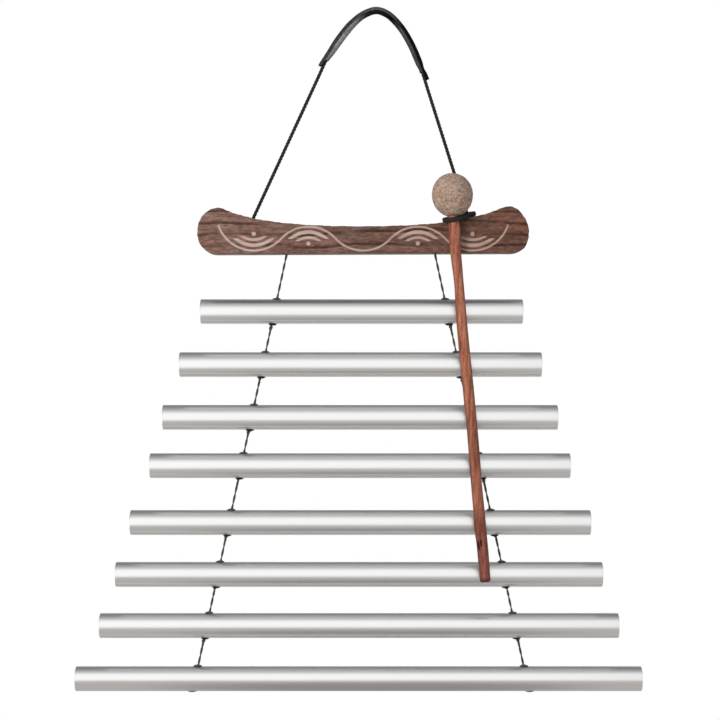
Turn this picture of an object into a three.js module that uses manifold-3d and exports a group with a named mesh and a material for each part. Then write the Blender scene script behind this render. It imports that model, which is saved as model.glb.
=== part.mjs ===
// A hanging bar chime: eight aluminium tubes strung as the rungs of a cord ladder under a wooden
// header, a cord with a grip to hold or hang it by, and a beater parked in a rubber ring.
// Millimetres, +Z up, tubes along X, front towards -Y. The origin is the hang point: the underside
// of the grip at the top of its arch.
import * as THREE from "three";
import { mergeVertices } from "three/addons/utils/BufferGeometryUtils.js";
import Module from "manifold-3d";

// Places, from the hang point
const HEADER_DROP = 194.2; // down to the header's underside
const LADDER_OFFSET = -12.6; // sideways to the middle of the cord ladder
const HEADER_SHIFT = 1.7; // sideways from the ladder's middle to the header's middle

// Clearances
const PLAY = 0.3; // between pieces that sit against each other
const BORE_PLAY = 0.3; // around a cord or a barrel in its hole
const BEATER_PLAY = 0.45; // between the ball and the hanger cord behind it
const STICK_GAP = 1.8; // between the parked stick and the header's face

// Tubes, from the shortest at the top to the longest
const TUBE_DIAMETER = 20;
const TUBE_WALL = 1.5;
const TUBE_LIP = 0.4; // chamfer around each cut end
const TUBE_LENGTHS = [260, 292.2, 318.7, 339.1, 371.4, 392.7, 418.6, 456.7];
const TUBE_SHIFTS = [0.6, -0.3, -0.6, -0.7, -0.4, -1.5, -1.4, -1.8]; // off the ladder's middle
const TUBE_GAPS = [36.1, 22.8, 22.6, 19, 25.9, 21.9, 21.3, 22.9]; // clear height above each tube

// Cord ladder
const LADDER_CORD_DIAMETER = 2;
const LADDER_TOP_HALF = 60; // from the ladder's middle to each cord at the header
const LADDER_SPREAD = 12.14; // degrees that each cord leans outwards
const LADDER_KNOT_DIAMETER = 3.8;
const LADDER_KNOT_LENGTH = 4;

// Rubber bush in each cord hole of a tube
const BUSH_WALL = 0.8;
const BUSH_FLANGE_WIDTH = 6.2;
const BUSH_FLANGE_THICKNESS = 1.2;
const END_KNOT_DIAMETER = 3.4; // the last knot, hidden in its bush
const END_KNOT_LENGTH = 4;

// Header
const HEADER_LENGTH = 266.2;
const HEADER_THICKNESS = 24;
const HEADER_WAIST_HEIGHT = 22.3;
const HEADER_LOBE_HEIGHT = 37.9;
const HEADER_SHOULDER_HEIGHT = 17.6; // where the rounded end is widest
const HEADER_LOBE_WIDTH = 16.5; // from the top of a lobe out to the end
const HEADER_FOOT_WIDTH = 15; // rounded corner under each end
const HEADER_LOBE_HANDLE = 9; // how far the top stays level beside a lobe
const HEADER_WAIST_HANDLE = 100; // how far the top stays level from the waist
const HEADER_EDGE = 1; // chamfer along the front and back edges
const KNOT_POCKET_PLAY = 0.5; // around a knot in its counterbore

// Hanger cord
const HANGER_CORD_DIAMETER = 3;
const HANGER_HALF_SPAN = 87; // from the ladder's middle to each cord hole
const HANGER_HOLE_PLAY = 0.75; // around the cord, which swings in the mouth of its hole
const HANGER_KNOT_DIAMETER = 6;
const HANGER_KNOT_LENGTH = 6;
const HANGER_FOOT_LIFT = 0.3; // pivot above the header's top, where the cord goes in

// Route of the hanger cord, as [x, z]: the arch that the cord and the grip share, and the ends of each
const GRIP_ARCH = [
  [-29.5, -19.2],
  [-19.8, -7.6],
  [-10.1, -0.2],
  [0, 3],
  [9.3, -0.4],
  [19, -10.1],
  [27.4, -23.6],
];
const CORD_LEFT_TOP = [
  [-47.3, -51.5],
  [-41.4, -38.5],
  [-36.4, -28.6],
];
const CORD_RIGHT_TOP = [
  [33.2, -36.1],
  [36.6, -45.3],
  [41.6, -61.2],
];
const GRIP_LEFT_END = [
  [-45.2, -43.8],
  [-38, -32.5],
];
const GRIP_RIGHT_END = [
  [34.7, -40.3],
  [39.8, -53.3],
];

// Grip: a soft sleeve over the cord
const GRIP_WALL = 0.65;
const GRIP_BORE_PLAY = 0.85; // around the cord, which hugs the inner side at both ends
const GRIP_END_SLANT = 50; // degrees from a square cut

// Rubber ring around the stick and the right leg of the hanger
const RING_SECTION = 3.2;
const RING_CHAMFER = 0.9;
const RING_CORD_PLAY = 2;
const RING_SIDE_PLAY = 1; // further room around the stick, which bows a little
const RING_DROOP = 8; // degrees that its front hangs down over the header's edge

// Beater
const BALL_DIAMETER = 33;
const BALL_LENGTH = 35.4; // along the stick
const BALL_OFFSET = 1.8; // from the stick's middle to the ball's, sideways
const BALL_DIP = 0.6; // how far the ball's end sits down in the ring
const STICK_DIAMETER = 8.8;
const STICK_LENGTH = 311.8;
const STICK_LEAN = 5.24; // degrees, foot towards +X
const STICK_BOW = 0.3;
const STICK_INSET = 14; // from the right hanger cord to the stick, at the ring
const SOCKET_DEPTH = 20;

// Facets
const TUBE_SIDES = 20;
const HOLE_SIDES = 8;
const FLANGE_SIDES = 10;
const SLEEVE_SIDES = 10;
const CORD_SIDES = 8;
const BALL_SIDES = 16;
const KNOT_RINGS = 5;
const CORD_STEPS = 48;
const GRIP_STEPS = 20;
const STICK_STEPS = 10;
const OUTLINE_STEPS = 6;
const RING_STEPS = 7;

// Values worked out from those above
const headerBottom = -HEADER_DROP;
const headerMiddle = LADDER_OFFSET + HEADER_SHIFT;
const tubeRadius = TUBE_DIAMETER / 2;
const ladderRadius = LADDER_CORD_DIAMETER / 2;
const hangerRadius = HANGER_CORD_DIAMETER / 2;
const ballRadius = BALL_DIAMETER / 2;
const stickRadius = STICK_DIAMETER / 2;
const spread = THREE.MathUtils.degToRad(LADDER_SPREAD);
const sides = { left: -1, right: 1 };
const flangeTop = tubeRadius + PLAY + BUSH_FLANGE_THICKNESS;
const hangerRight = LADDER_OFFSET + HANGER_HALF_SPAN;
const frontFace = Math.max(HEADER_THICKNESS, TUBE_DIAMETER) / 2;
const beaterY = -Math.max(
  frontFace + STICK_GAP + stickRadius,
  hangerRadius + BEATER_PLAY + ballRadius,
);

const wasm = await Module();
wasm.setup();

const aluminium = new THREE.MeshStandardMaterial({ color: 0xc4c3c1, roughness: 0.32, metalness: 1 });
const darkWood = new THREE.MeshStandardMaterial({ color: 0x6e5046, roughness: 0.5, metalness: 0 });
const redWood = new THREE.MeshStandardMaterial({ color: 0xa06b57, roughness: 0.55, metalness: 0 });
const cork = new THREE.MeshStandardMaterial({ color: 0xa68a78, roughness: 0.9, metalness: 0 });
const cordage = new THREE.MeshStandardMaterial({ color: 0x26231f, roughness: 0.85, metalness: 0 });
const rubber = new THREE.MeshStandardMaterial({ color: 0x1b1a19, roughness: 0.6, metalness: 0 });
const leather = new THREE.MeshStandardMaterial({ color: 0x2b2928, roughness: 0.6, metalness: 0 });

// A closed geometry as a solid that can be joined and cut.
function solidOf(geometry) {
  const bare = geometry.clone();
  bare.deleteAttribute("normal");
  bare.deleteAttribute("uv");
  const merged = mergeVertices(bare);
  return new wasm.Manifold(
    new wasm.Mesh({
      numProp: 3,
      vertProperties: merged.attributes.position.array,
      triVerts: new Uint32Array(merged.index.array),
    }),
  );
}

// A cut or joined solid as a geometry again.
function geometryOf(solid) {
  const mesh = solid.getMesh();
  const geometry = new THREE.BufferGeometry();
  geometry.setAttribute("position", new THREE.BufferAttribute(mesh.vertProperties, 3));
  geometry.setIndex(new THREE.BufferAttribute(mesh.triVerts, 1));
  geometry.computeVertexNormals();
  return geometry;
}

function named(name, geometry, material) {
  const mesh = new THREE.Mesh(geometry, material);
  mesh.name = name;
  return mesh;
}

// A regular polygon around the origin, as points.
function polygon(radius, count) {
  return Array.from({ length: count }, (_, k) => {
    const angle = (2 * Math.PI * k) / count;
    return new THREE.Vector2(radius * Math.cos(angle), radius * Math.sin(angle));
  });
}

// A round bar along Z, turned to lean the way a ladder cord of this side does.
function leaningBar(radius, length, side, count = HOLE_SIDES) {
  return new THREE.CylinderGeometry(radius, radius, length, count)
    .rotateX(Math.PI / 2)
    .rotateY(-side * spread);
}

// Header

// The curve along the header's top, from the crown of the right lobe in to the waist.
const crown = HEADER_LENGTH / 2 - HEADER_LOBE_WIDTH;
const headerTop = new THREE.CubicBezierCurve(
  new THREE.Vector2(crown, HEADER_LOBE_HEIGHT),
  new THREE.Vector2(crown - HEADER_LOBE_HANDLE, HEADER_LOBE_HEIGHT),
  new THREE.Vector2(HEADER_WAIST_HANDLE, HEADER_WAIST_HEIGHT),
  new THREE.Vector2(0, HEADER_WAIST_HEIGHT),
);

// The header's height above its underside, at a distance from its middle, along the straight runs
// that the curve is cut into.
function headerHeight(distance) {
  const across = Math.abs(distance);
  const points = headerTop.getPoints(OUTLINE_STEPS);
  const k = Math.max(1, points.findIndex((point) => point.x <= across));
  const outer = points[k - 1];
  const inner = points[k];
  return inner.y + ((outer.y - inner.y) * (across - inner.x)) / (outer.x - inner.x);
}

// The outline of the front face, from its underside, counter-clockwise.
function headerOutline() {
  const half = HEADER_LENGTH / 2;
  const foot = half - HEADER_FOOT_WIDTH;
  const rise = HEADER_LOBE_HEIGHT - HEADER_SHOULDER_HEIGHT;
  const quarter = Math.PI / 2;
  const shape = new THREE.Shape();
  const corner = (x, width, height, start) =>
    shape.absellipse(x, HEADER_SHOULDER_HEIGHT, width, height, start, start + quarter, false, 0);
  const along = (points, mirror) =>
    shape.bezierCurveTo(...points.flatMap((p) => [mirror * p.x, p.y]));
  const { v0, v1, v2, v3 } = headerTop;
  shape.moveTo(-foot, 0);
  shape.lineTo(foot, 0);
  corner(foot, HEADER_FOOT_WIDTH, HEADER_SHOULDER_HEIGHT, -quarter);
  corner(crown, HEADER_LOBE_WIDTH, rise, 0);
  along([v1, v2, v3], 1);
  along([v2, v1, v0], -1);
  corner(-crown, HEADER_LOBE_WIDTH, rise, quarter);
  corner(-foot, HEADER_FOOT_WIDTH, HEADER_SHOULDER_HEIGHT, 2 * quarter);
  return shape;
}

// A hole down through the header, with a counterbore for a stop knot at one end.
function knottedHole(x, radius, knotRadius, pocketBottom, pocketTop) {
  const through = 2 * HEADER_LOBE_HEIGHT;
  const bore = new THREE.CylinderGeometry(radius, radius, through, HOLE_SIDES).rotateX(Math.PI / 2);
  const pocketRadius = knotRadius + KNOT_POCKET_PLAY;
  const depth = pocketTop - pocketBottom;
  const pocket = new THREE.CylinderGeometry(pocketRadius, pocketRadius, depth, HOLE_SIDES)
    .rotateX(Math.PI / 2)
    .translate(0, 0, (pocketTop + pocketBottom) / 2);
  return solidOf(bore).add(solidOf(pocket)).translate([x, 0, 0]);
}

// Heights above the header's underside
const hangerMouths = Object.values(sides).map((side) =>
  headerHeight(side * HANGER_HALF_SPAN - HEADER_SHIFT),
);
const hangerPivot = (hangerMouths[0] + hangerMouths[1]) / 2 + HANGER_FOOT_LIFT;
const hangerPocket = HANGER_KNOT_LENGTH + 2 * PLAY;
const ladderPocketFloor = (side) =>
  headerHeight(side * LADDER_TOP_HALF - HEADER_SHIFT) - LADDER_KNOT_LENGTH - 2 * PLAY;

function header() {
  const plank = new THREE.ExtrudeGeometry(headerOutline(), {
    depth: HEADER_THICKNESS - 2 * HEADER_EDGE,
    bevelThickness: HEADER_EDGE,
    bevelSize: HEADER_EDGE,
    bevelOffset: -HEADER_EDGE,
    bevelSegments: 1,
    curveSegments: OUTLINE_STEPS,
  })
    .translate(0, 0, HEADER_EDGE - HEADER_THICKNESS / 2)
    .rotateX(Math.PI / 2);
  let body = solidOf(plank);
  for (const side of Object.values(sides)) {
    const hangerX = side * HANGER_HALF_SPAN - HEADER_SHIFT;
    const ladderX = side * LADDER_TOP_HALF - HEADER_SHIFT;
    const hangerHole = hangerRadius + HANGER_HOLE_PLAY;
    const hangerKnot = HANGER_KNOT_DIAMETER / 2;
    const ladderHole = ladderRadius + BORE_PLAY;
    const ladderKnot = LADDER_KNOT_DIAMETER / 2;
    body = body
      .subtract(knottedHole(hangerX, hangerHole, hangerKnot, -PLAY, hangerPocket))
      .subtract(
        knottedHole(ladderX, ladderHole, ladderKnot, ladderPocketFloor(side), HEADER_LOBE_HEIGHT),
      );
  }
  const mesh = named("header", geometryOf(body), darkWood);
  mesh.position.set(headerMiddle, 0, headerBottom);
  return mesh;
}

// Cords

// A straight cord down from the origin, with a stop knot at its lower end: a turned profile of the
// cord's radius that swells into an egg-shaped knot. A cord that swings has a round top.
function knottedCord(radius, length, knotRadius, knotLength, roundTop) {
  const profile = [];
  const point = (r, down) => profile.push(new THREE.Vector2(r, -down));
  const neck = Math.asin(radius / knotRadius);
  for (let k = 0; k <= KNOT_RINGS; k++) {
    const turn = Math.PI - (k / KNOT_RINGS) * (Math.PI - neck);
    const r = k === 0 ? 0 : knotRadius * Math.sin(turn);
    point(r, length + (knotLength / 2) * (1 - Math.cos(turn)));
  }
  point(radius, 0);
  if (roundTop) point(radius * Math.SQRT1_2, -radius * Math.SQRT1_2);
  point(0, roundTop ? -radius : 0);
  return new THREE.LatheGeometry(profile, CORD_SIDES).rotateX(Math.PI / 2);
}

// The stretches of cord inside the header, each with its stop knot in a counterbore.
function headerAnchors() {
  const group = new THREE.Group();
  for (const [name, side] of Object.entries(sides)) {
    const hangerTop = hangerPivot - hangerRadius - PLAY;
    const hangerLength = hangerTop - hangerPocket + PLAY;
    const hangerKnot = HANGER_KNOT_DIAMETER / 2;
    const hanger = named(
      `hanger_anchor_${name}`,
      knottedCord(hangerRadius, hangerLength, hangerKnot, HANGER_KNOT_LENGTH, false),
      cordage,
    );
    hanger.position.set(LADDER_OFFSET + side * HANGER_HALF_SPAN, 0, headerBottom + hangerTop);
    const ladderFoot = ladderRadius + PLAY;
    const ladderLength = ladderPocketFloor(side) + PLAY - ladderFoot;
    const ladderKnot = LADDER_KNOT_DIAMETER / 2;
    const ladder = named(
      `ladder_anchor_${name}`,
      knottedCord(ladderRadius, ladderLength, ladderKnot, LADDER_KNOT_LENGTH, false),
      cordage,
    );
    ladder.rotation.x = Math.PI;
    ladder.position.set(LADDER_OFFSET + side * LADDER_TOP_HALF, 0, headerBottom + ladderFoot);
    group.add(hanger, ladder);
  }
  return group;
}

function routeCurve(points) {
  const places = points.map(([x, z]) => new THREE.Vector3(x, 0, z));
  return new THREE.CatmullRomCurve3(places, false, "centripetal");
}

// The points at one and two thirds of the way from a cord's foot to the top of its leg, and the foot.
function leg(foot, top) {
  const share = (k) => [foot[0] + k * (top[0] - foot[0]), foot[1] + k * (top[1] - foot[1])];
  return [foot, share(1 / 3), share(2 / 3)];
}

function hangerCord() {
  const footZ = headerBottom + hangerPivot;
  const leftFoot = [LADDER_OFFSET - HANGER_HALF_SPAN, footZ];
  const rightFoot = [hangerRight, footZ];
  const route = [
    ...leg(leftFoot, CORD_LEFT_TOP[0]),
    ...CORD_LEFT_TOP,
    ...GRIP_ARCH,
    ...CORD_RIGHT_TOP,
    ...leg(rightFoot, CORD_RIGHT_TOP.at(-1)).reverse(),
  ];
  const section = new THREE.Shape(polygon(hangerRadius, CORD_SIDES));
  const cord = new THREE.ExtrudeGeometry(section, {
    extrudePath: routeCurve(route),
    steps: CORD_STEPS,
  });
  let body = solidOf(cord);
  for (const [x, z] of [leftFoot, rightFoot]) {
    const ball = new THREE.SphereGeometry(hangerRadius, CORD_SIDES, CORD_SIDES / 2);
    body = body.add(solidOf(ball.rotateX(Math.PI / 2).translate(x, 0, z)));
  }
  return named("hanger_cord", geometryOf(body), cordage);
}

// Grip

// A block that takes off the end of the sleeve: the cut leans so that the outer wall, away from the
// arch's inside, reaches furthest.
function endCutter(end, before, radius, turn) {
  const outward = new THREE.Vector2(end[0] - before[0], end[1] - before[1]).normalize();
  const slant = THREE.MathUtils.degToRad(GRIP_END_SLANT);
  const size = 8 * radius;
  const back = radius * Math.tan(slant);
  const heading = Math.atan2(outward.y, outward.x) + turn * slant;
  return new THREE.BoxGeometry(size, size, size)
    .translate(size / 2, 0, 0)
    .rotateY(-heading)
    .translate(end[0] - back * outward.x, 0, end[1] - back * outward.y);
}

function gripSleeve() {
  const bore = hangerRadius + GRIP_BORE_PLAY;
  const outer = bore + GRIP_WALL;
  const section = new THREE.Shape(polygon(outer, SLEEVE_SIDES));
  section.holes.push(new THREE.Path(polygon(bore, SLEEVE_SIDES).reverse()));
  const route = [...GRIP_LEFT_END, ...GRIP_ARCH, ...GRIP_RIGHT_END];
  const sleeve = new THREE.ExtrudeGeometry(section, {
    extrudePath: routeCurve(route),
    steps: GRIP_STEPS,
  });
  const leftCut = endCutter(route[0], route[1], outer, 1);
  const rightCut = endCutter(route.at(-1), route.at(-2), outer, -1);
  const body = solidOf(sleeve).subtract(solidOf(leftCut)).subtract(solidOf(rightCut));
  return named("grip_sleeve", geometryOf(body), leather);
}

// Rows of the ladder

// A tube along X with its lips chamfered, drilled on the slant for a bush near each end.
function tube(name, length, shift, cordDistance, holeRadius) {
  const inner = tubeRadius - TUBE_WALL;
  const half = length / 2;
  const profile = [
    [inner, -half],
    [tubeRadius - TUBE_LIP, -half],
    [tubeRadius, -half + TUBE_LIP],
    [tubeRadius, half - TUBE_LIP],
    [tubeRadius - TUBE_LIP, half],
    [inner, half],
    [inner, -half],
  ].map(([r, along]) => new THREE.Vector2(r, along));
  const wall = new THREE.LatheGeometry(profile, TUBE_SIDES).rotateZ(Math.PI / 2);
  let body = solidOf(wall.translate(shift, 0, 0));
  for (const side of Object.values(sides)) {
    const drill = leaningBar(holeRadius, 4 * tubeRadius, side);
    body = body.subtract(solidOf(drill.translate(side * cordDistance, 0, 0)));
  }
  return named(name, geometryOf(body), aluminium);
}

// A rubber sleeve along the cord through a tube, with a flange on the tube's top and bottom whose
// seat is hollowed to the tube. A pocket for the last knot is bored up from below.
function bush(name, side, barrelRadius, pocketRadius, pocketDepth) {
  const reach = 4 * flangeTop;
  const tubeShape = new THREE.CylinderGeometry(
    tubeRadius + PLAY,
    tubeRadius + PLAY,
    reach,
    TUBE_SIDES,
  ).rotateZ(Math.PI / 2);
  const slab = new THREE.BoxGeometry(reach, reach, 2 * flangeTop);
  const barrel = leaningBar(barrelRadius, reach, side);
  let body = solidOf(barrel).intersect(solidOf(slab));
  for (const up of [1, -1]) {
    const flangeRadius = BUSH_FLANGE_WIDTH / 2;
    const disc = new THREE.CylinderGeometry(flangeRadius, flangeRadius, flangeTop, FLANGE_SIDES)
      .rotateX(Math.PI / 2)
      .translate(-up * side * Math.tan(spread) * flangeTop, 0, (up * flangeTop) / 2);
    body = body.add(solidOf(disc).subtract(solidOf(tubeShape)));
  }
  const bore = leaningBar(ladderRadius + BORE_PLAY, reach, side, CORD_SIDES);
  body = body.subtract(solidOf(bore));
  if (pocketDepth > 0) {
    const bottom = flangeTop / Math.cos(spread);
    const pocket = new THREE.CylinderGeometry(pocketRadius, pocketRadius, bottom, HOLE_SIDES)
      .rotateX(Math.PI / 2)
      .translate(0, 0, pocketDepth - 1.5 * bottom)
      .rotateY(-side * spread);
    body = body.subtract(solidOf(pocket));
  }
  return named(name, geometryOf(body), rubber);
}

// One rung after another: each hangs from the knots under the tube above it.
function ladder() {
  const group = new THREE.Group();
  const lean = Math.cos(spread);
  let pivotZ = headerBottom;
  let undersideZ = headerBottom;
  TUBE_LENGTHS.forEach((length, index) => {
    const number = index + 1;
    const last = number === TUBE_LENGTHS.length;
    const tubeZ = undersideZ - TUBE_GAPS[index] - tubeRadius;
    const cordDistance = LADDER_TOP_HALF + Math.tan(spread) * (headerBottom - tubeZ);
    const pivotDistance = LADDER_TOP_HALF + Math.tan(spread) * (headerBottom - pivotZ);
    const knotLength = last ? END_KNOT_LENGTH : LADDER_KNOT_LENGTH;
    const knotRadius = (last ? END_KNOT_DIAMETER : LADDER_KNOT_DIAMETER) / 2;
    const pocketRadius = knotRadius + BORE_PLAY;
    const pocketDepth = last ? END_KNOT_LENGTH + 2 * PLAY : 0;
    const bore = last ? pocketRadius : ladderRadius + BORE_PLAY;
    const barrelRadius = bore + BUSH_WALL;
    const belowAxis = last ? flangeTop - pocketDepth + PLAY : flangeTop + PLAY;
    const cordLength = (pivotZ - tubeZ + belowAxis) / lean;
    const row = new THREE.Group();
    row.position.set(LADDER_OFFSET, 0, tubeZ);
    const shift = TUBE_SHIFTS[index];
    row.add(tube(`tube_${number}`, length, shift, cordDistance, barrelRadius + BORE_PLAY));
    for (const [name, side] of Object.entries(sides)) {
      const seat = bush(`bush_${name}_${number}`, side, barrelRadius, pocketRadius, pocketDepth);
      seat.position.x = side * cordDistance;
      const cord = named(
        `cord_${name}_${number}`,
        knottedCord(ladderRadius, cordLength, knotRadius, knotLength, true),
        cordage,
      );
      cord.rotation.y = -side * spread;
      cord.position.set(side * pivotDistance, 0, pivotZ - tubeZ);
      row.add(seat, cord);
    }
    group.add(row);
    undersideZ = tubeZ - tubeRadius;
    pivotZ -= (cordLength + knotLength + PLAY + ladderRadius) * lean;
  });
  return group;
}

// Ring and beater

// Where the stick goes through the ring, seen from above
const stickAtRing = hangerRight - STICK_INSET;
const ringFront = stickRadius + PLAY + RING_SIDE_PLAY;
const ringBack = hangerRadius + RING_CORD_PLAY;

// The ring lies on the header's front edge, where the top is hollow, so its two ends carry it. Its
// front hangs down and its back stands up around the hanger cord.
const droop = THREE.MathUtils.degToRad(RING_DROOP);
const ringEnds = [
  stickAtRing - ringFront - RING_SECTION,
  hangerRight + ringBack + RING_SECTION,
];
const ringEndHeights = ringEnds.map((x) => headerHeight(x - headerMiddle));
const ringSlope = (ringEndHeights[1] - ringEndHeights[0]) / (ringEnds[1] - ringEnds[0]);
const ringTilt = Math.atan(ringSlope * Math.cos(droop));
const ringLift = (PLAY + RING_SECTION / 2) / (Math.cos(ringTilt) * Math.cos(droop));
const ringHeight = (x, y) =>
  headerBottom +
  ringEndHeights[0] +
  ringSlope * (x - ringEnds[0]) +
  Math.tan(droop) * (y + HEADER_THICKNESS / 2) +
  ringLift;

// The ring's own frame has its origin at the hanger cord. The stick's place in it:
const ringFrame = new THREE.Object3D();
ringFrame.rotation.set(droop, -ringTilt, 0);
ringFrame.position.set(hangerRight, 0, ringHeight(hangerRight, 0));
ringFrame.updateMatrixWorld();
const stickInRing = ringFrame.worldToLocal(
  new THREE.Vector3(stickAtRing, beaterY, ringHeight(stickAtRing, beaterY)),
);

// The ring's loop in its own frame, around the stick and the hanger cord: two arcs and the two
// straight runs that touch both. grow is added to both radii.
function ringLoop(grow) {
  const front = new THREE.Vector2(stickInRing.x, stickInRing.y + RING_SIDE_PLAY / 2);
  const back = new THREE.Vector2(0, 0);
  const frontRadius = ringFront + grow;
  const backRadius = ringBack + grow;
  const between = back.clone().sub(front);
  const heading = between.angle();
  const tangent = Math.acos((frontRadius - backRadius) / between.length());
  const turn = 2 * Math.PI;
  const path = new THREE.Path();
  path.absarc(front.x, front.y, frontRadius, heading + tangent, heading - tangent + turn, false);
  path.absarc(back.x, back.y, backRadius, heading - tangent, heading + tangent, false);
  return path;
}

function ring() {
  const shape = new THREE.Shape(ringLoop(RING_SECTION).getPoints(RING_STEPS));
  shape.holes.push(new THREE.Path(ringLoop(0).getPoints(RING_STEPS)));
  const band = new THREE.ExtrudeGeometry(shape, {
    depth: RING_SECTION - 2 * RING_CHAMFER,
    bevelThickness: RING_CHAMFER,
    bevelSize: RING_CHAMFER,
    bevelOffset: -RING_CHAMFER,
    bevelSegments: 1,
  }).translate(0, 0, RING_CHAMFER - RING_SECTION / 2);
  const mesh = named("ring", band, rubber);
  mesh.rotation.copy(ringFrame.rotation);
  mesh.position.copy(ringFrame.position);
  return mesh;
}

// The stick hangs from the height of the ball's middle, with a slight bow to the left. The ball is a
// little longer than wide, and has a blind socket beside its own middle.
function beater() {
  const group = new THREE.Group();
  const halfBall = BALL_LENGTH / 2;
  const top = SOCKET_DEPTH - halfBall;
  const foot = top - STICK_LENGTH;
  const path = new THREE.QuadraticBezierCurve3(
    new THREE.Vector3(0, 0, top),
    new THREE.Vector3(-2 * STICK_BOW, 0, (top + foot) / 2),
    new THREE.Vector3(0, 0, foot),
  );
  const section = new THREE.Shape(polygon(stickRadius, SLEEVE_SIDES));
  const stick = new THREE.ExtrudeGeometry(section, { extrudePath: path, steps: STICK_STEPS });
  const socketRadius = stickRadius + BORE_PLAY;
  const socketTop = top + PLAY;
  const socket = new THREE.CylinderGeometry(socketRadius, socketRadius, BALL_LENGTH, BALL_SIDES)
    .rotateX(Math.PI / 2)
    .translate(0, 0, socketTop - halfBall);
  const egg = new THREE.SphereGeometry(ballRadius, BALL_SIDES, BALL_SIDES / 2 + 4)
    .rotateX(Math.PI / 2)
    .scale(1, 1, BALL_LENGTH / BALL_DIAMETER)
    .translate(BALL_OFFSET, 0, 0);
  const ball = solidOf(egg).subtract(solidOf(socket));
  group.add(named("beater_ball", geometryOf(ball), cork), named("beater_stick", stick, redWood));
  const lean = THREE.MathUtils.degToRad(STICK_LEAN);
  const rise = RING_SECTION / 2 - BALL_DIP + halfBall;
  group.rotation.y = -lean;
  group.position.set(
    stickAtRing - Math.tan(lean) * rise,
    beaterY,
    ringHeight(stickAtRing, beaterY) + rise,
  );
  return group;
}

const chime = new THREE.Group();
chime.add(gripSleeve(), hangerCord(), header(), headerAnchors(), ladder(), ring(), beater());

export default chime;
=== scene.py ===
# %% [markdown]
# # A hanging bar chime
#
# Eight aluminium tubes hang like the rungs of a rope ladder under a wooden header. A cord with a leather
# grip carries the whole, and a stick with a cork ball is parked in a rubber ring. The solids of every piece
# come measured from the CAD model. This lesson dresses them: each plain solid is replaced by a finer surface
# of the same size, in the same place, and gets a material that is worked out from noise and formulas.

import math

import bmesh
import bpy
import numpy as np
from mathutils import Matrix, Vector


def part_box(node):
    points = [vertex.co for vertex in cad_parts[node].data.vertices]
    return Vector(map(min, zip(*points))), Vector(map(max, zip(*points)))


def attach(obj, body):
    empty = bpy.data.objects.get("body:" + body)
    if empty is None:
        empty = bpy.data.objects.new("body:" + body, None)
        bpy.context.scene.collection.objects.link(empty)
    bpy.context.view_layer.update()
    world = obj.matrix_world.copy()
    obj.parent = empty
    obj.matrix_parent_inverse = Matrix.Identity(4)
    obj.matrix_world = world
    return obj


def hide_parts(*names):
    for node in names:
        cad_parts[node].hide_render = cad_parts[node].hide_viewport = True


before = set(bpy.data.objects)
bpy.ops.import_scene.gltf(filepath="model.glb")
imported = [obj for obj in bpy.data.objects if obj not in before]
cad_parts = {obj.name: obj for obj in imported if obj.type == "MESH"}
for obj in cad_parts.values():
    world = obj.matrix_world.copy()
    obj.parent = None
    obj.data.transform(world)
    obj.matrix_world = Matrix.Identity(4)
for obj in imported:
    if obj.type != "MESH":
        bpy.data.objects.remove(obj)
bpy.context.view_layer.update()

# %% [markdown]
# ## The camera
#
# A photographer would stand well back with a long lens, so that the tubes stay parallel. The tubes' ends
# bulge by only one or two pixels, which means a distance of about 1.6 m. The lens then follows from
# how much of the scene fits in the frame: at the tubes, the picture is 0.5818 m wide.

# %% The camera
CAMERA_DISTANCE = 1.6
PICTURE_WIDTH = 0.5818
PICTURE_MIDDLE = (-0.0133, -0.2793)

lens = bpy.data.cameras.new("camera")
lens.sensor_width = 36
lens.lens = 36 * CAMERA_DISTANCE / PICTURE_WIDTH
camera = bpy.data.objects.new("camera", lens)
camera.location = (PICTURE_MIDDLE[0], -CAMERA_DISTANCE, PICTURE_MIDDLE[1])
camera.rotation_euler = (math.pi / 2, 0, 0)
bpy.context.collection.objects.link(camera)
bpy.context.scene.camera = camera
bpy.context.scene.view_settings.view_transform = "Standard"
print("lens", round(lens.lens, 1), "mm")

# %% [markdown]
# ## From grids of points to meshes
#
# Every piece below is a grid of points: one parameter runs along it and one around it. A function gives all
# the points at once as a numpy array, in millimetres. What is left is to say which points share a face, and
# that is the same for every grid, so it is written once. The grid also gives each face corner a place in a
# UV map, the distance along in millimetres and the share of a turn around, which the cords and the grip use
# for patterns that follow the surface.

# %% A helper that turns grids into one mesh
MM = 0.001


def grid_corners(rows, columns, closed):
    """Row and column numbers of the four corners of every face: each face joins a point to the next one
    along and the next one around. The columns always close on themselves, the rows only where closed."""
    row = np.arange(rows if closed else rows - 1)[:, None, None]
    column = np.arange(columns)[None, :, None]
    down, across = np.broadcast_arrays(row + np.array([0, 0, 1, 1]), column + np.array([0, 1, 1, 0]))
    return down.reshape(-1, 4), across.reshape(-1, 4)


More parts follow.
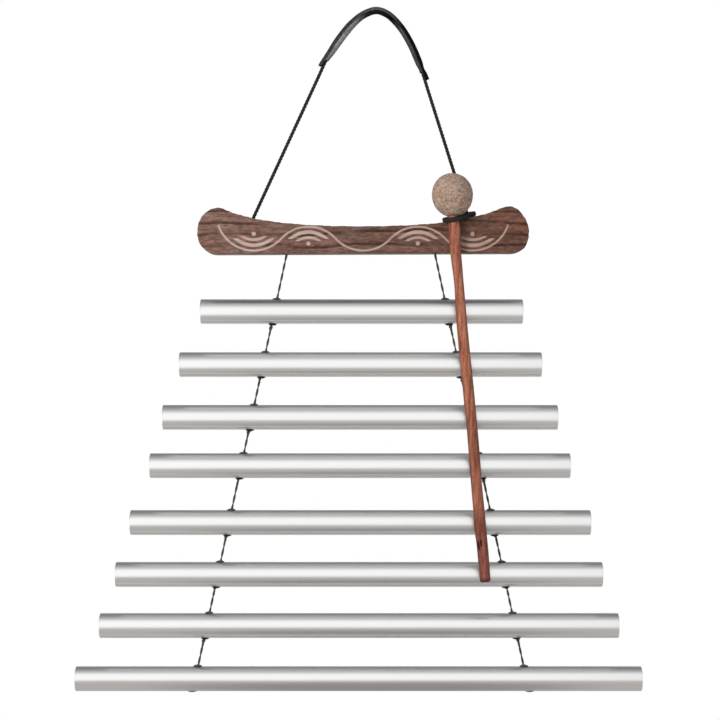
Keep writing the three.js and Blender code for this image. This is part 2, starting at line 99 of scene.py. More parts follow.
def mesh_of(name, grids):
    """One mesh of several grids, each given as (points, closed). A grid whose rows aren't closed gets a flat
    face on both ends. Distances along are summed from the mean step between rows."""
    points, faces, places, first = [], [], [], 0
    for grid, closed in grids:
        rows, columns = grid.shape[:2]
        down, across = grid_corners(rows, columns, closed)
        faces += (first + (down % rows) * columns + across % columns).tolist()
        step = np.linalg.norm(np.diff(grid, axis=0, append=grid[:1]), axis=2).mean(axis=1)
        run = np.concatenate([[0], np.cumsum(step)])
        places.append(np.stack([run[down], across / columns], axis=-1).reshape(-1, 2))
        if not closed:
            rim = np.arange(columns)
            faces += [(first + rim[::-1]).tolist(), (first + (rows - 1) * columns + rim).tolist()]
            places.append(np.zeros((2 * columns, 2)))
        points.append(grid.reshape(-1, 3))
        first += rows * columns
    mesh = bpy.data.meshes.new(name)
    mesh.from_pydata((np.concatenate(points) * MM).tolist(), [], faces)
    uv = mesh.uv_layers.new(name="along_around")
    uv.data.foreach_set("uv", np.concatenate(places).astype(np.float32).ravel())
    shell = bmesh.new()
    shell.from_mesh(mesh)
    bmesh.ops.recalc_face_normals(shell, faces=shell.faces)
    shell.to_mesh(mesh)
    shell.free()
    return mesh


def keep_numbers(mesh, name, values):
    """Keeps one number for each point of a mesh, for its finish to read."""
    layer = mesh.attributes.new(name, "FLOAT", "POINT")
    layer.data.foreach_set("value", values.astype(np.float32).ravel())


def add_piece(name, mesh, finishes, body, nodes, crease=35):
    """Puts a mesh into the scene, smooth except where faces meet at more than crease degrees, and lets it
    ride on a CAD body in place of the CAD nodes."""
    mesh.shade_smooth()
    mesh.set_sharp_from_angle(angle=math.radians(crease))
    for finish in finishes:
        mesh.materials.append(finish)
    piece = bpy.data.objects.new(name, mesh)
    bpy.context.collection.objects.link(piece)
    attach(piece, body)
    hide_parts(*nodes)
    return piece


print("meshes are written in metres, from grids in millimetres")

# %% [markdown]
# ## Materials from noise
#
# A finish is a Principled shader whose colour, roughness and small relief come from noise. The noise reads
# Object coordinates, in metres, so a pattern stays on its piece when the piece swings. Stretching the noise
# along one axis turns lumps into grain or drawing lines. Small helpers do the wiring: one spreads a number
# over a row of colours, one tints a colour with such a row. The last but one is a trick: in the photograph
# the tubes mirror their neighbours only as dull grey, so a piece can be dulled wherever a mirror shows it.

# %% Helpers for finishes


def join(finish, value, socket):
    """Links an output to a socket, or sets the socket where the value is a plain one."""
    if isinstance(value, bpy.types.NodeSocket):
        finish.node_tree.links.new(value, socket)
    else:
        socket.default_value = value


def dress(finish, **sockets):
    """Links or sets the shader's sockets by name, with _ for a space."""
    shader = finish.node_tree.nodes["Principled BSDF"]
    for name, value in sockets.items():
        join(finish, value, shader.inputs[name.replace("_", " ")])


def new_finish(name, roughness, metallic=0.0, gloss=0.5):
    """A material with a Principled shader, and its roughness, metal share and gloss set."""
    finish = bpy.data.materials.new(name)
    finish.use_nodes = True
    dress(finish, Roughness=roughness, Metallic=metallic, Specular_IOR_Level=gloss)
    return finish


def add_node(finish, kind, **inputs):
    """A new node, with inputs linked or set by name."""
    node = finish.node_tree.nodes.new(kind)
    for name, value in inputs.items():
        join(finish, value, node.inputs[name])
    return node


def attribute(finish, name):
    """A number that is kept at each point of the mesh."""
    node = add_node(finish, "ShaderNodeAttribute")
    node.attribute_name = name
    return node.outputs["Fac"]


def stretched(finish, waves):
    """Object coordinates times the number of waves per metre along X, Y and Z."""
    place = add_node(finish, "ShaderNodeTexCoord").outputs["Object"]
    return add_node(finish, "ShaderNodeMapping", Vector=place, Scale=waves).outputs["Vector"]


def coordinate(finish, name):
    """One Object coordinate, in metres."""
    return add_node(finish, "ShaderNodeSeparateXYZ", Vector=stretched(finish, (1, 1, 1))).outputs[name]


def noise(finish, waves, detail=4.0, warp=0.0):
    """Noise from 0 to 1 with that many waves per metre along X, Y and Z."""
    place = stretched(finish, waves)
    node = add_node(finish, "ShaderNodeTexNoise", Vector=place, Scale=1.0, Detail=detail, Distortion=warp)
    return node.outputs["Fac"]


def rgba(colour):
    """A colour with its alpha. A plain number stands for a grey."""
    return (*colour, 1) if isinstance(colour, tuple) else (colour, colour, colour, 1)


def ramp(finish, factor, stops):
    """The colour at a number between 0 and 1, blended between stops of (number, colour)."""
    node = add_node(finish, "ShaderNodeValToRGB", Fac=factor)
    elements = node.color_ramp.elements
    while len(elements) < len(stops):
        elements.new(0.5)
    for element, (place, colour) in zip(elements, stops):
        element.position = place
        element.color = rgba(colour)
    return node.outputs["Color"]


def blend(finish, factor, under, over, kind="MIX"):
    """Two colours mixed by a factor."""
    node = add_node(finish, "ShaderNodeMix")
    node.data_type = "RGBA"
    node.blend_type = kind
    for place, value in ((0, factor), (6, under), (7, over)):
        join(finish, value, node.inputs[place])
    return node.outputs[2]


def tinted(finish, amount, colour, factor, stops):
    """A colour times the one that a number picks from the stops, by the given amount."""
    return blend(finish, amount, colour, ramp(finish, factor, stops), "MULTIPLY")


def sums(finish, operation, first, second):
    """One sum of two numbers, such as DIVIDE or MAXIMUM."""
    node = add_node(finish, "ShaderNodeMath")
    node.operation = operation
    join(finish, first, node.inputs[0])
    join(finish, second, node.inputs[1])
    return node.outputs[0]


def plus(finish, first, second):
    """Two numbers added."""
    return sums(finish, "ADD", first, second)


def times(finish, first, second):
    """Two numbers multiplied."""
    return sums(finish, "MULTIPLY", first, second)


def dulled_in_mirrors(finish, colour, share, grey):
    """The colour, mixed with a grey by the given share wherever the piece is seen in a mirror: painted shade
    on its reflections.
    """
    in_mirror = add_node(finish, "ShaderNodeLightPath").outputs["Is Glossy Ray"]
    return blend(finish, times(finish, in_mirror, share), colour, rgba(grey))


def relief(finish, height, depth, strength=1.0):
    """A small relief of that depth in metres from a number between 0 and 1."""
    bump = add_node(finish, "ShaderNodeBump", Height=height, Strength=strength, Distance=depth)
    dress(finish, Normal=bump.outputs["Normal"])


print("helpers for finishes are ready")

# %% [markdown]
# ## Lines through points
#
# Cords, grip and stick follow lines. The hanger cord's line goes through points taken along the real cord. A
# cubic between each two of them, whose slope at a point comes from its neighbours, makes the line smooth, and
# points at even steps along it make an even rope. All these lines lie in upright planes, so the directions
# square to a line are easy: one is always Y, and the other follows from the slope.

# %% Lines, angles and curves


def angles(count):
    """Angles evenly around a full turn."""
    return 2 * np.pi * np.arange(count) / count


def turned(first, second, angle):
    """Two coordinates a and b turned by an angle: a cos - b sin and a sin + b cos."""
    c, s = math.cos(angle), math.sin(angle)
    return first * c - second * s, first * s + second * c


def bell(distance, reach):
    """A bell curve: exp(-(distance / reach)^2)."""
    return np.exp(-((distance / reach) ** 2))


def unit(vectors):
    """Vectors at length 1."""
    return vectors / np.linalg.norm(vectors, axis=-1, keepdims=True)


def normals(line):
    """The normals of a closed flat line, to the right of its direction."""
    slope = unit(np.roll(line, -1, axis=0) - np.roll(line, 1, axis=0))
    return np.stack([slope[:, 1], -slope[:, 0]], axis=1)


def straight(start, end, share):
    """Points at the given shares of the way from start to end."""
    return start * (1 - share[:, None]) + end * share[:, None]


def distances(path):
    """Distance along a path up to each of its points."""
    return np.concatenate([[0], np.cumsum(np.linalg.norm(np.diff(path, axis=0), axis=1))])


def at_distances(run, path, vectors):
    """Vectors known at the points of a path, blended to the given distances along it."""
    known = distances(path)
    return np.stack([np.interp(run, known, vectors[:, k]) for k in range(3)], axis=-1)


def smooth_line(points, step):
    """A smooth line through points in an upright plane, as (x, z). Between two points runs a cubic. Its slope
    at a point weighs the steps before and after by the square root of their lengths."""
    p = np.array([(x, 0, z) for x, z in points], float)
    p = np.vstack([2 * p[0] - p[1], p, 2 * p[-1] - p[-2]])
    pace = np.sqrt(np.linalg.norm(np.diff(p, axis=0), axis=1))[:, None]
    before, after = pace[:-1], pace[1:]
    slope = (p[1:-1] - p[:-2]) / before + (p[2:] - p[1:-1]) / after
    slope -= (p[2:] - p[:-2]) / (before + after)
    t = np.linspace(0, 1, 60, endpoint=False)[:, None, None]
    line = (2 * t**3 - 3 * t**2 + 1) * p[1:-2] + (3 * t**2 - 2 * t**3) * p[2:-1]
    line = line + pace[1:-1] * ((t**3 - 2 * t**2 + t) * slope[:-1] + (t**3 - t**2) * slope[1:])
    line = np.vstack([line.transpose(1, 0, 2).reshape(-1, 3), p[-2]])
    length = distances(line)[-1]
    return at_distances(np.linspace(0, length, int(length / step) + 1), line, line)


def square_to(path):
    """The two directions square to a line in an upright plane: Y, and the cross product of the slope
    and Y."""
    sideways = np.broadcast_to([0.0, 1.0, 0.0], path.shape)
    return sideways, np.cross(unit(np.gradient(path, axis=0)), sideways)


print("smooth lines are ready")

# %% [markdown]
# ## Laid cord
#
# A cord is two or three yarns laid around each other. It could be a plain round tube with a bump pattern, but
# its edge would then be straight, and a real cord's edge is scalloped. So each yarn is a tube of its own,
# carried along a helix around the cord's line. The black polyester has a faint sheen, and fine fibres
# follow each yarn.

# %% The cord's shape and finish


def swept_circle(line, heading, outward, radius, sides):
    """A circle carried along a line, square to its heading: cos a outward plus sin a across, times radius."""
    angle = angles(sides)[:, None]
    across = np.cross(heading, outward)
    circle = np.cos(angle) * outward[..., None, :] + np.sin(angle) * across[..., None, :]
    return line[..., None, :] + radius * circle


def laid_cord(path, yarns, yarn_radius, lay, sides, start=0.0):
    """Yarn k runs around the line at the angle (distance / lay + k / yarns) of a turn, one yarn radius (or
    a little more for three yarns) away from it. A circle is carried along each yarn, square to it."""
    sideways, up = square_to(path)
    turn = 2 * np.pi * (distances(path) / lay + start + np.arange(yarns)[:, None] / yarns)
    outward = np.cos(turn)[..., None] * sideways + np.sin(turn)[..., None] * up
    middle = path + outward * yarn_radius / math.sin(math.pi / yarns) * 0.94
    heading = unit(np.gradient(middle, axis=1))
    return [(grid, False) for grid in swept_circle(middle, heading, outward, yarn_radius, sides)]


def stop_knot(middle, axis, radius, half_length, thickness):
    """A knot drawn tight, as a closed trefoil: at the angle t the cord's middle lies a + b cos 3t out from
    the axis, at the bearing 2t, and c sin 3t along it. A circle is carried along that line."""
    t = angles(96)[:, None]
    reach = radius - thickness / 2
    out = 0.66 * reach + 0.34 * reach * np.cos(3 * t)
    axis = unit(np.asarray(axis, float))
    first = np.array([0.0, 1.0, 0.0])
    bearing = np.cos(2 * t) * first + np.sin(2 * t) * np.cross(axis, first)
    line = np.asarray(middle) + out * bearing + (half_length - thickness / 2) * np.sin(3 * t) * axis
    heading = unit(np.roll(line, -1, axis=0) - np.roll(line, 1, axis=0))
    outward = unit(bearing - heading * (bearing * heading).sum(axis=1, keepdims=True))
    return swept_circle(line, heading, outward, thickness / 2, 10), True


def cord_finish(name, colour, fleck):
    """Black yarn: noise along the UV map's length and around gives fibres that follow each yarn."""
    finish = new_finish(name, 0.62, gloss=0.15)
    place = add_node(finish, "ShaderNodeUVMap").outputs["UV"]
    along = add_node(finish, "ShaderNodeMapping", Vector=place, Scale=(0.5, 9, 1)).outputs["Vector"]
    fibre = add_node(finish, "ShaderNodeTexNoise", Vector=along, Scale=1.0, Detail=3.0).outputs["Fac"]
    colours = ramp(finish, fibre, [(0.35, colour), (0.75, fleck)])
    dress(finish, Base_Color=colours, Sheen_Weight=0.06, Sheen_Roughness=0.4)
    relief(finish, fibre, 0.00012, 0.6)
    return finish


hanger_yarn = cord_finish("hanger_yarn", 0.004, (0.06, 0.058, 0.055))
ladder_yarn = cord_finish("ladder_yarn", (0.026, 0.026, 0.025), (0.15, 0.146, 0.14))
print("cords:", hanger_yarn.name, ladder_yarn.name)

# %% [markdown]
# ## The hanger cord
#
# One black cord of 3 mm goes up from the header's left hole, through the leather grip and down to the right
# hole. It is taut, because the whole chime hangs from it, so its line is straight but for the arch over the
# hand. Three yarns with a lay of 8.7 mm give the spacing of the scallops on the real cord's edge.

# %% The hanger cord
HANGER_FEET = {"left": -99.6, "right": 74.4}
HANGER_FOOT_HEIGHT = -164.832
HANGER_LAY = {"yarns": 3, "yarn_radius": 0.72, "lay": 8.7, "sides": 9}
GRIP_ARCH = [(-29.5, -19.2), (-19.8, -7.6), (-10.1, -0.2), (0, 3), (9.3, -0.4), (19, -10.1), (27.4, -23.6)]
LEFT_TOP = [(-47.3, -51.5), (-41.4, -38.5), (-36.4, -28.6)]
RIGHT_TOP = [(33.2, -36.1), (36.6, -45.3), (41.6, -61.2)]


def leg(side_name, top):
    """The foot of one leg of the cord, and the points at one and two thirds of the way up."""
    foot, top = np.array((HANGER_FEET[side_name], HANGER_FOOT_HEIGHT)), np.array(top)
    return [tuple(foot + share * (top - foot)) for share in (0, 1 / 3, 2 / 3)]


left_leg = leg("left", LEFT_TOP[0])
right_leg = leg("right", RIGHT_TOP[-1])
hanger_line = smooth_line(left_leg + LEFT_TOP + GRIP_ARCH + RIGHT_TOP + right_leg[::-1], 0.45)
hanger_mesh = mesh_of("hanger_cord_laid", laid_cord(hanger_line, **HANGER_LAY))
hanger_cord = add_piece("hanger_cord_laid", hanger_mesh, [hanger_yarn], "hanger", ["hanger_cord"])

# %% [markdown]
# ## The ladder cords
#
# Two thinner cords carry the tubes. Each goes out of the header, leans outwards by 12 degrees and passes
# through every tube, with a knot under each. A tube swings with the stretch of cord above it, so each
# stretch is a piece of its own that ends just below its own knot, where the next one takes over. Two yarns
# twisted slowly show as the light and dark flecks along the real cord. The knots are drawn up into the
# rubber, and only some of them show.

# %% The ladder cords
LADDER_MIDDLE = -12.6
LADDER_TOP_HALF = 60.0
LADDER_LEAN = math.radians(12.14)
LADDER_LAY = {"yarns": 2, "yarn_radius": 0.5, "lay": 17.0, "sides": 10}
HEADER_BOTTOM = -194.2
TUBE_HEIGHTS = [-240.3, -283.1, -325.7, -364.7, -410.6, -452.5, -493.8, -536.7]
KNOT_HEIGHTS = [-194.2, -257.281, -300.081, -342.681, -381.681, -427.581, -469.481, -510.781]
ROWS = range(1, len(TUBE_HEIGHTS) + 1)
LAST_ROW = ROWS[-1]
FLANGE_FACE = 11.5
KNOT_LENGTH = 3.4
SIDES = {"left": -1, "right": 1}
KNOTS_SUNK = {-1: [0.2, 2.6, 1.4, 2.9, 2.0, 2.8, 1.0, 4.4], 1: [1.5, 0.9, 2.8, 1.2, 3.0, 2.9, 1.9, 4.4]}


def ladder_place(side, height):
    """The point of a ladder cord at a height: outwards by the lean's slope for each millimetre down."""
    out = LADDER_TOP_HALF + math.tan(LADDER_LEAN) * (HEADER_BOTTOM - height)
    return np.array([LADDER_MIDDLE + side * out, 0, height])


def ladder_stretch(side, row):
    """The cord from the end of the stretch above, through its own knot, to where the next one starts."""
    sunk = KNOTS_SUNK[side][row - 1]
    knot = ladder_place(side, TUBE_HEIGHTS[row - 1] - FLANGE_FACE + sunk - KNOT_LENGTH / 2)
    end = knot if row == LAST_ROW else ladder_place(side, KNOT_HEIGHTS[row])
    line = straight(ladder_place(side, KNOT_HEIGHTS[row - 1] + 0.4), end, np.linspace(0, 1, 90))
    grids = laid_cord(line, **LADDER_LAY, start=0.13 * row)
    return grids + [stop_knot(knot, line[-1] - line[0], 1.6, KNOT_LENGTH / 2, 1.25)]


for side_name, side in SIDES.items():
    for row in ROWS:
        mesh = mesh_of(f"cord_{side_name}_{row}_twisted", ladder_stretch(side, row))
        add_piece(mesh.name, mesh, [ladder_yarn], f"row_{row}", [f"cord_{side_name}_{row}"])
print(len(SIDES) * len(ROWS), "stretches of ladder cord")

# %% [markdown]
# ## Cord ends in the header
#
# The cords end in knots inside the header: the hanger's in holes in its underside, the ladder's in holes in
# its top. They can only be seen by looking straight into a hole, but an empty hole would look wrong there.

# %% Cord ends in the header
HANGER_POCKET = 6.6
END_SHARES = np.linspace(0, 1, 50)

for side_name, side in SIDES.items():
    x = HANGER_FEET[side_name]
    knot = np.array([x, 0, HEADER_BOTTOM + HANGER_POCKET - 3.3])
    line = straight(np.array([x, 0, HANGER_FOOT_HEIGHT - 1.6]), knot, END_SHARES)
    grids = laid_cord(line, **HANGER_LAY) + [stop_knot(knot, (0, 0, -1), 3.0, 2.9, 2.1)]
    mesh = mesh_of(f"hanger_end_{side_name}", grids)
    add_piece(mesh.name, mesh, [hanger_yarn], "header", [f"hanger_anchor_{side_name}"])
    low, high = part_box(f"ladder_anchor_{side_name}")
    knot = np.array([ladder_place(side, HEADER_BOTTOM)[0], 0, high[2] / MM - KNOT_LENGTH / 2])
    line = straight(np.array([knot[0], 0, low[2] / MM]), knot, END_SHARES)
    grids = laid_cord(line, **LADDER_LAY) + [stop_knot(knot, (0, 0, 1), 1.9, KNOT_LENGTH / 2, 1.3)]
    mesh = mesh_of(f"ladder_end_{side_name}", grids)
    add_piece(mesh.name, mesh, [ladder_yarn], "header", [f"ladder_anchor_{side_name}"])
print("four cord ends with knots")

# %% [markdown]
# ## Cutting holes
#
# A hole could be left out of a grid, but then the grid is no longer a grid. The Boolean modifier cuts it
# afterwards instead: a cutter mesh is taken away from the piece. With the exact solver it keeps the cutter's
# own material on the cut faces, which later gives the carved ornament its light wood.

# %% A helper that cuts


def round_bar(bottom, top, radius, sides=32):
    """A round bar between two points: circles in the level plane around each."""
    angle = angles(sides)[:, None]
    circle = radius * np.concatenate([np.cos(angle), np.sin(angle), 0 * angle], axis=1)
    return np.stack([np.asarray(bottom) + circle, np.asarray(top) + circle]), False


def cut(mesh, cutter_mesh, finish):
    """The mesh with the cutter taken away. The new faces get the finish."""
    cutter_mesh.materials.append(finish)
    body = bpy.data.objects.new("cut_body", mesh)
    cutter = bpy.data.objects.new("cutter", cutter_mesh)
    for thing in (body, cutter):
        bpy.context.collection.objects.link(thing)
    modifier = body.modifiers.new("cut", "BOOLEAN")
    modifier.operation = "DIFFERENCE"
    modifier.solver = "EXACT"
    modifier.material_mode = "TRANSFER"
    modifier.object = cutter
    view = bpy.context.evaluated_depsgraph_get()
    result = bpy.data.meshes.new_from_object(body.evaluated_get(view))
    result.name = mesh.name + "_cut"
    for thing in (body, cutter):
        bpy.data.objects.remove(thing)
    return result


print("cutting is ready")

# %% [markdown]
# ## The tubes
#
# Each tube is drawn aluminium of 20 mm with a 1.5 mm wall, cut square and lightly rounded at the lips. The
# closed outline of its wall is turned around the X axis. The holes for the cords lean a little less than
# the cords do. The finish is satin: fine drawing lines run along the tube, so the noise is stretched hundreds
# of times along X, and it changes the roughness and a relief of about a thousandth of a millimetre.

# %% The tubes' finish
aluminium = new_finish("satin_aluminium", 0.24, metallic=1.0)
drawing_lines = noise(aluminium, (6, 2600, 2600), 2.0)
clouding = noise(aluminium, (9, 60, 60), 3.0)
worn = plus(aluminium, times(aluminium, drawing_lines, 0.7), times(aluminium, clouding, 0.3))
bright = ramp(aluminium, worn, [(0.3, (0.95, 0.95, 0.945)), (0.7, (0.99, 0.99, 0.985))])
dress(aluminium, Base_Color=dulled_in_mirrors(aluminium, bright, 0.27, 0.2))
dress(aluminium, Roughness=ramp(aluminium, worn, [(0.3, 0.28), (0.7, 0.35)]))
relief(aluminium, drawing_lines, 0.000001, 0.25)
print("finish", aluminium.name)

# %% The tubes
TUBE_LENGTHS = [260, 292.2, 318.7, 339.1, 371.4, 392.7, 418.6, 456.7]
TUBE_SHIFTS = [0.6, -0.3, -0.6, -0.7, -0.4, -1.5, -1.4, -1.8]
TUBE_RADIUS = 10.0
TUBE_WALL = 1.5
TUBE_LIP = 0.7
HOLE_MARGIN = 5
HOLE_LEANS = [math.radians(8.8)] * 7 + [LADDER_LEAN]
HOLES_INWARD = [0.2] * 7 + [-0.4]
HOLE_RADII = [2.2] * 7 + [2.9]
DRILL_REACH = 20


def tube_wall(length, hole, around=128):
    """The outline of the wall as (distance along, radius): the outside, a lip rounded at both corners, the
    bore and the other lip. Turned around X: (along, radius sin a, radius cos a)."""
    inner = TUBE_RADIUS - TUBE_WALL
    beside = [-hole - HOLE_MARGIN, -hole + HOLE_MARGIN, 0, hole - HOLE_MARGIN, hole + HOLE_MARGIN]
    outside = np.stack([beside, np.full(5, TUBE_RADIUS)], axis=1)
    bore = np.stack([beside[::-1], np.full(5, inner)], axis=1)
    bend = np.linspace(0, np.pi / 2, 6)
    arc = TUBE_LIP * np.stack([np.sin(bend), np.cos(bend)], axis=1)
    corner = np.array([length / 2 - TUBE_LIP, TUBE_RADIUS - TUBE_LIP]) + arc
    under = np.stack([corner[::-1, 0], 2 * inner + TUBE_WALL - corner[::-1, 1]], axis=1)
    lip = np.concatenate([corner, under])
    outline = np.concatenate([outside, lip, bore, lip[::-1] * [-1, 1]])
    angle = angles(around)
    along = np.broadcast_to(outline[:, :1], (len(outline), around))
    return np.stack([along, outline[:, 1:] * np.sin(angle), outline[:, 1:] * np.cos(angle)], axis=-1)


def hole_shift(side, row, above):
    """How far along X a cord hole's middle lies from the cord's place at the axis, at a height above it."""
    return -side * (HOLES_INWARD[row - 1] + math.tan(HOLE_LEANS[row - 1]) * above)


def cord_drills(row):
    """The two leaning bars that drill a tube."""
    bars = []
    for side in SIDES.values():
        middle = ladder_place(side, TUBE_HEIGHTS[row - 1])
        ends = [middle + [hole_shift(side, row, above), 0, above] for above in (-DRILL_REACH, DRILL_REACH)]
        bars.append(round_bar(*ends, HOLE_RADII[row - 1]))
    return bars


for row in ROWS:
    height = TUBE_HEIGHTS[row - 1]
    hole = ladder_place(1, height)[0] - LADDER_MIDDLE
    place = [LADDER_MIDDLE + TUBE_SHIFTS[row - 1], 0, height]
    wall = mesh_of(f"tube_{row}_satin", [(tube_wall(TUBE_LENGTHS[row - 1], hole) + place, True)])
    wall.materials.append(aluminium)
    wall = cut(wall, mesh_of("drills", cord_drills(row)), aluminium)
    add_piece(f"tube_{row}_satin", wall, [], f"row_{row}", [f"tube_{row}"], 30)
print("tubes of", TUBE_LENGTHS, "mm")

# %% [markdown]
# ## The rubber grommets
#
# Where a cord goes through a tube, a rubber grommet keeps it from sawing on the metal edge. In the solids one
# sleeve stands for both; here each hole has its own. The outline of its brim and neck is turned around the
# hole. Its underside has to sit on a round tube, so every point drops by as much as the tube's top does at
# that distance to the side. The upper ones are painted greyer, as light falling on them from above shows
# them, and the two under the lowest tube are paler.

# %% The rubber's finishes


def rubber_finish(name, dark, light):
    """Matt rubber, mottled between two greys by fine noise."""
    finish = new_finish(name, 0.5, gloss=0.3)
    dust = noise(finish, (900, 900, 900))
    greys = [(0.35, (dark, dark, 1.06 * dark)), (0.75, (light, light, 1.05 * light))]
    dress(finish, Base_Color=ramp(finish, dust, greys))
    relief(finish, dust, 0.00003, 0.5)
    return finish


rubber = rubber_finish("matt_rubber", 0.007, 0.02)
# Painted light: the rubber of the upper grommets is lighter, where light falls on it from above.
painted_lit_rubber = rubber_finish("painted_lit_rubber", 0.055, 0.095)
grey_rubber = rubber_finish("grey_rubber", 0.19, 0.26)
print("finishes", rubber.name, painted_lit_rubber.name, grey_rubber.name)

# %% The grommets
BRIM_RADIUS = 3.5
BRIM_CURVE = [(0.5, 0.04, 0.6), (0.66, 0.3, 0.7), (0.85, 0.68, 0.9), (0.97, 0.88, 1), (1, 1, 1)]
MOUTH_EDGE = 0.3


def grommet(side, row, up):
    """An outline of (radius, height under the lip's face, how far it follows the tube) turned around the
    hole. The height drops by follow * (R - root(R^2 - y^2)), and the place shifts with the hole's lean."""
    neck = HOLE_RADII[row - 1] - 0.15
    hole, sunk = (1.75, 0.75) if row == LAST_ROW and up < 0 else (1.25, 0.25)
    bend = np.linspace(0, np.pi / 2, 6)
    across = hole + MOUTH_EDGE - MOUTH_EDGE * np.cos(bend)
    mouth = np.stack([across, MOUTH_EDGE * np.sin(bend) - MOUTH_EDGE - sunk, 0.5 + 0 * bend], axis=1)
    brim = np.array(BRIM_CURVE) * [BRIM_RADIUS, sunk - 1.2, 1] - [0, sunk, 0]
    seat = [(BRIM_RADIUS, -1.3, 1), (BRIM_RADIUS - 0.15, -1.47, 1), (neck + 0.1, -1.47, 1), (neck, -1.6, 1)]
    foot = [(neck, -3.5, 1), (neck - 0.3, -3.8, 1), (hole + 0.1, -3.8, 1), (hole, -3.6, 1)]
    outline = np.concatenate([mouth, brim, seat, foot])
    angle = angles(40)
    y = outline[:, :1] * np.sin(angle)
    drop = TUBE_RADIUS - np.sqrt(TUBE_RADIUS**2 - y**2)
    height = up * (FLANGE_FACE + outline[:, 1:2] - outline[:, 2:] * drop)
    x = outline[:, :1] * np.cos(angle) + hole_shift(side, row, height)
    return np.stack([x, y, height], axis=-1) + ladder_place(side, TUBE_HEIGHTS[row - 1]), True


for side_name, side in SIDES.items():
    for row in ROWS:
        mesh = mesh_of(f"grommets_{side_name}_{row}", [grommet(side, row, up) for up in (1, -1)])
        # The upper grommet of each pair gets the rubber that is painted lighter, where light falls on it from
        # above.
        finishes = [painted_lit_rubber, grey_rubber if row == LAST_ROW else rubber]
        add_piece(mesh.name, mesh, finishes, f"row_{row}", [f"bush_{side_name}_{row}"])
        is_lower = np.arange(len(mesh.polygons)) >= len(mesh.polygons) // 2
        mesh.polygons.foreach_set("material_index", is_lower.astype(np.int32))
print("32 grommets in", len(SIDES) * len(ROWS), "pieces")

# %% [markdown]
# ## The header
#
# The header is a plank of dark wood, sawn to a bow tie: two lobes and a waist. Its outline is worked out from
# a few quarter ellipses and one cubic curve, and a rounded edge is carried along it. Holes for the four cords
# are drilled with the cutter. The wood is oiled walnut. Its dark lines are the yearly layers: a saw-tooth
# over the height, about nine millimetres a layer, that noise makes waver and fade. Noise stretched along the
# plank adds streaks, flecks and pores, and the plank gets darker and redder towards its right end.

# %% The header's finish
HEART_WOOD = [(0.38, (0.192, 0.118, 0.091)), (0.5, (0.208, 0.117, 0.09)), (0.62, (0.228, 0.119, 0.093))]
STREAKS = [(0.36, (0.62, 0.59, 0.57)), (0.64, (1.3, 1.3, 1.32))]
FLECKS = [(0.34, (0.54, 0.51, 0.49)), (0.66, (1.44, 1.44, 1.46))]
LATE_WOOD = [
    (0.0, (0.8, 0.78, 0.77)),
    (0.06, (0.3, 0.27, 0.25)),
    (0.17, (0.38, 0.34, 0.32)),
    (0.34, (0.95, 0.94, 0.93)),
    (1.0, 1.05),
]
TO_RIGHT = [(0.0, 1.12), (0.3, (0.97, 0.95, 0.94)), (0.55, (0.86, 0.82, 0.78)), (1.0, (0.78, 0.6, 0.51))]


def along_header(finish):
    """The share of the way along the header, from its left end."""
    return sums(finish, "DIVIDE", plus(finish, coordinate(finish, "X"), 0.144), 0.266)


walnut = new_finish("oiled_walnut", 0.55, gloss=0.25)
waver = noise(walnut, (7, 30, 16), 3.0)
layers = plus(walnut, times(walnut, coordinate(walnut, "Z"), 112.0), times(walnut, waver, 2.6))
layers = plus(walnut, layers, times(walnut, coordinate(walnut, "Y"), 24.0))
year_rings = sums(walnut, "FRACT", layers, 0.0)
seen = ramp(walnut, noise(walnut, (26, 60, 90), 2.0), [(0.36, 0.25), (0.56, 1)])
streaks = noise(walnut, (22, 330, 330), 6.0, 0.3)
pores = noise(walnut, (160, 1500, 1500), 2.0)
grained = ramp(walnut, noise(walnut, (34, 90, 90), 3.0), HEART_WOOD)
grained = tinted(walnut, 0.75, grained, streaks, STREAKS)
grained = tinted(walnut, 0.75, grained, noise(walnut, (230, 620, 620), 5.0), FLECKS)
grained = blend(walnut, seen, grained, tinted(walnut, 1.0, grained, year_rings, LATE_WOOD))
grained = tinted(walnut, 0.6, grained, pores, [(0.36, (0.55, 0.5, 0.48)), (0.47, 1)])
grained = tinted(walnut, 1.0, grained, along_header(walnut), TO_RIGHT)
dress(walnut, Base_Color=dulled_in_mirrors(walnut, grained, 0.9, 0.17))
relief(walnut, plus(walnut, times(walnut, streaks, 0.5), pores), 0.00008, 0.5)
print("finish", walnut.name)

# %% The header's outline
HEADER_MIDDLE = -10.9
HEADER_LENGTH = 266.2
HEADER_THICKNESS = 24.0
WAIST_HEIGHT = 22.3
WAIST_HANDLE = 100
LOBE_HEIGHT = 37.9
LOBE_WIDTH = 16.5
LOBE_HANDLE = 9
SHOULDER_HEIGHT = 17.6
FOOT_WIDTH = 15.0
HEADER_EDGE = 1.1
HEADER_BUMPS = [(89, 30, 10, 0.65), (129, 5, 7, 1.3), (128, 32, 6, -0.6)]
TOP_SLOPE = 0.0055
TOP_DROP = 0.2
FOOT_SLOPE = 0.0038
FOOT_LOW_POINT = -117
FOOT_REACH = 20
SMOOTH_FOOT = 8


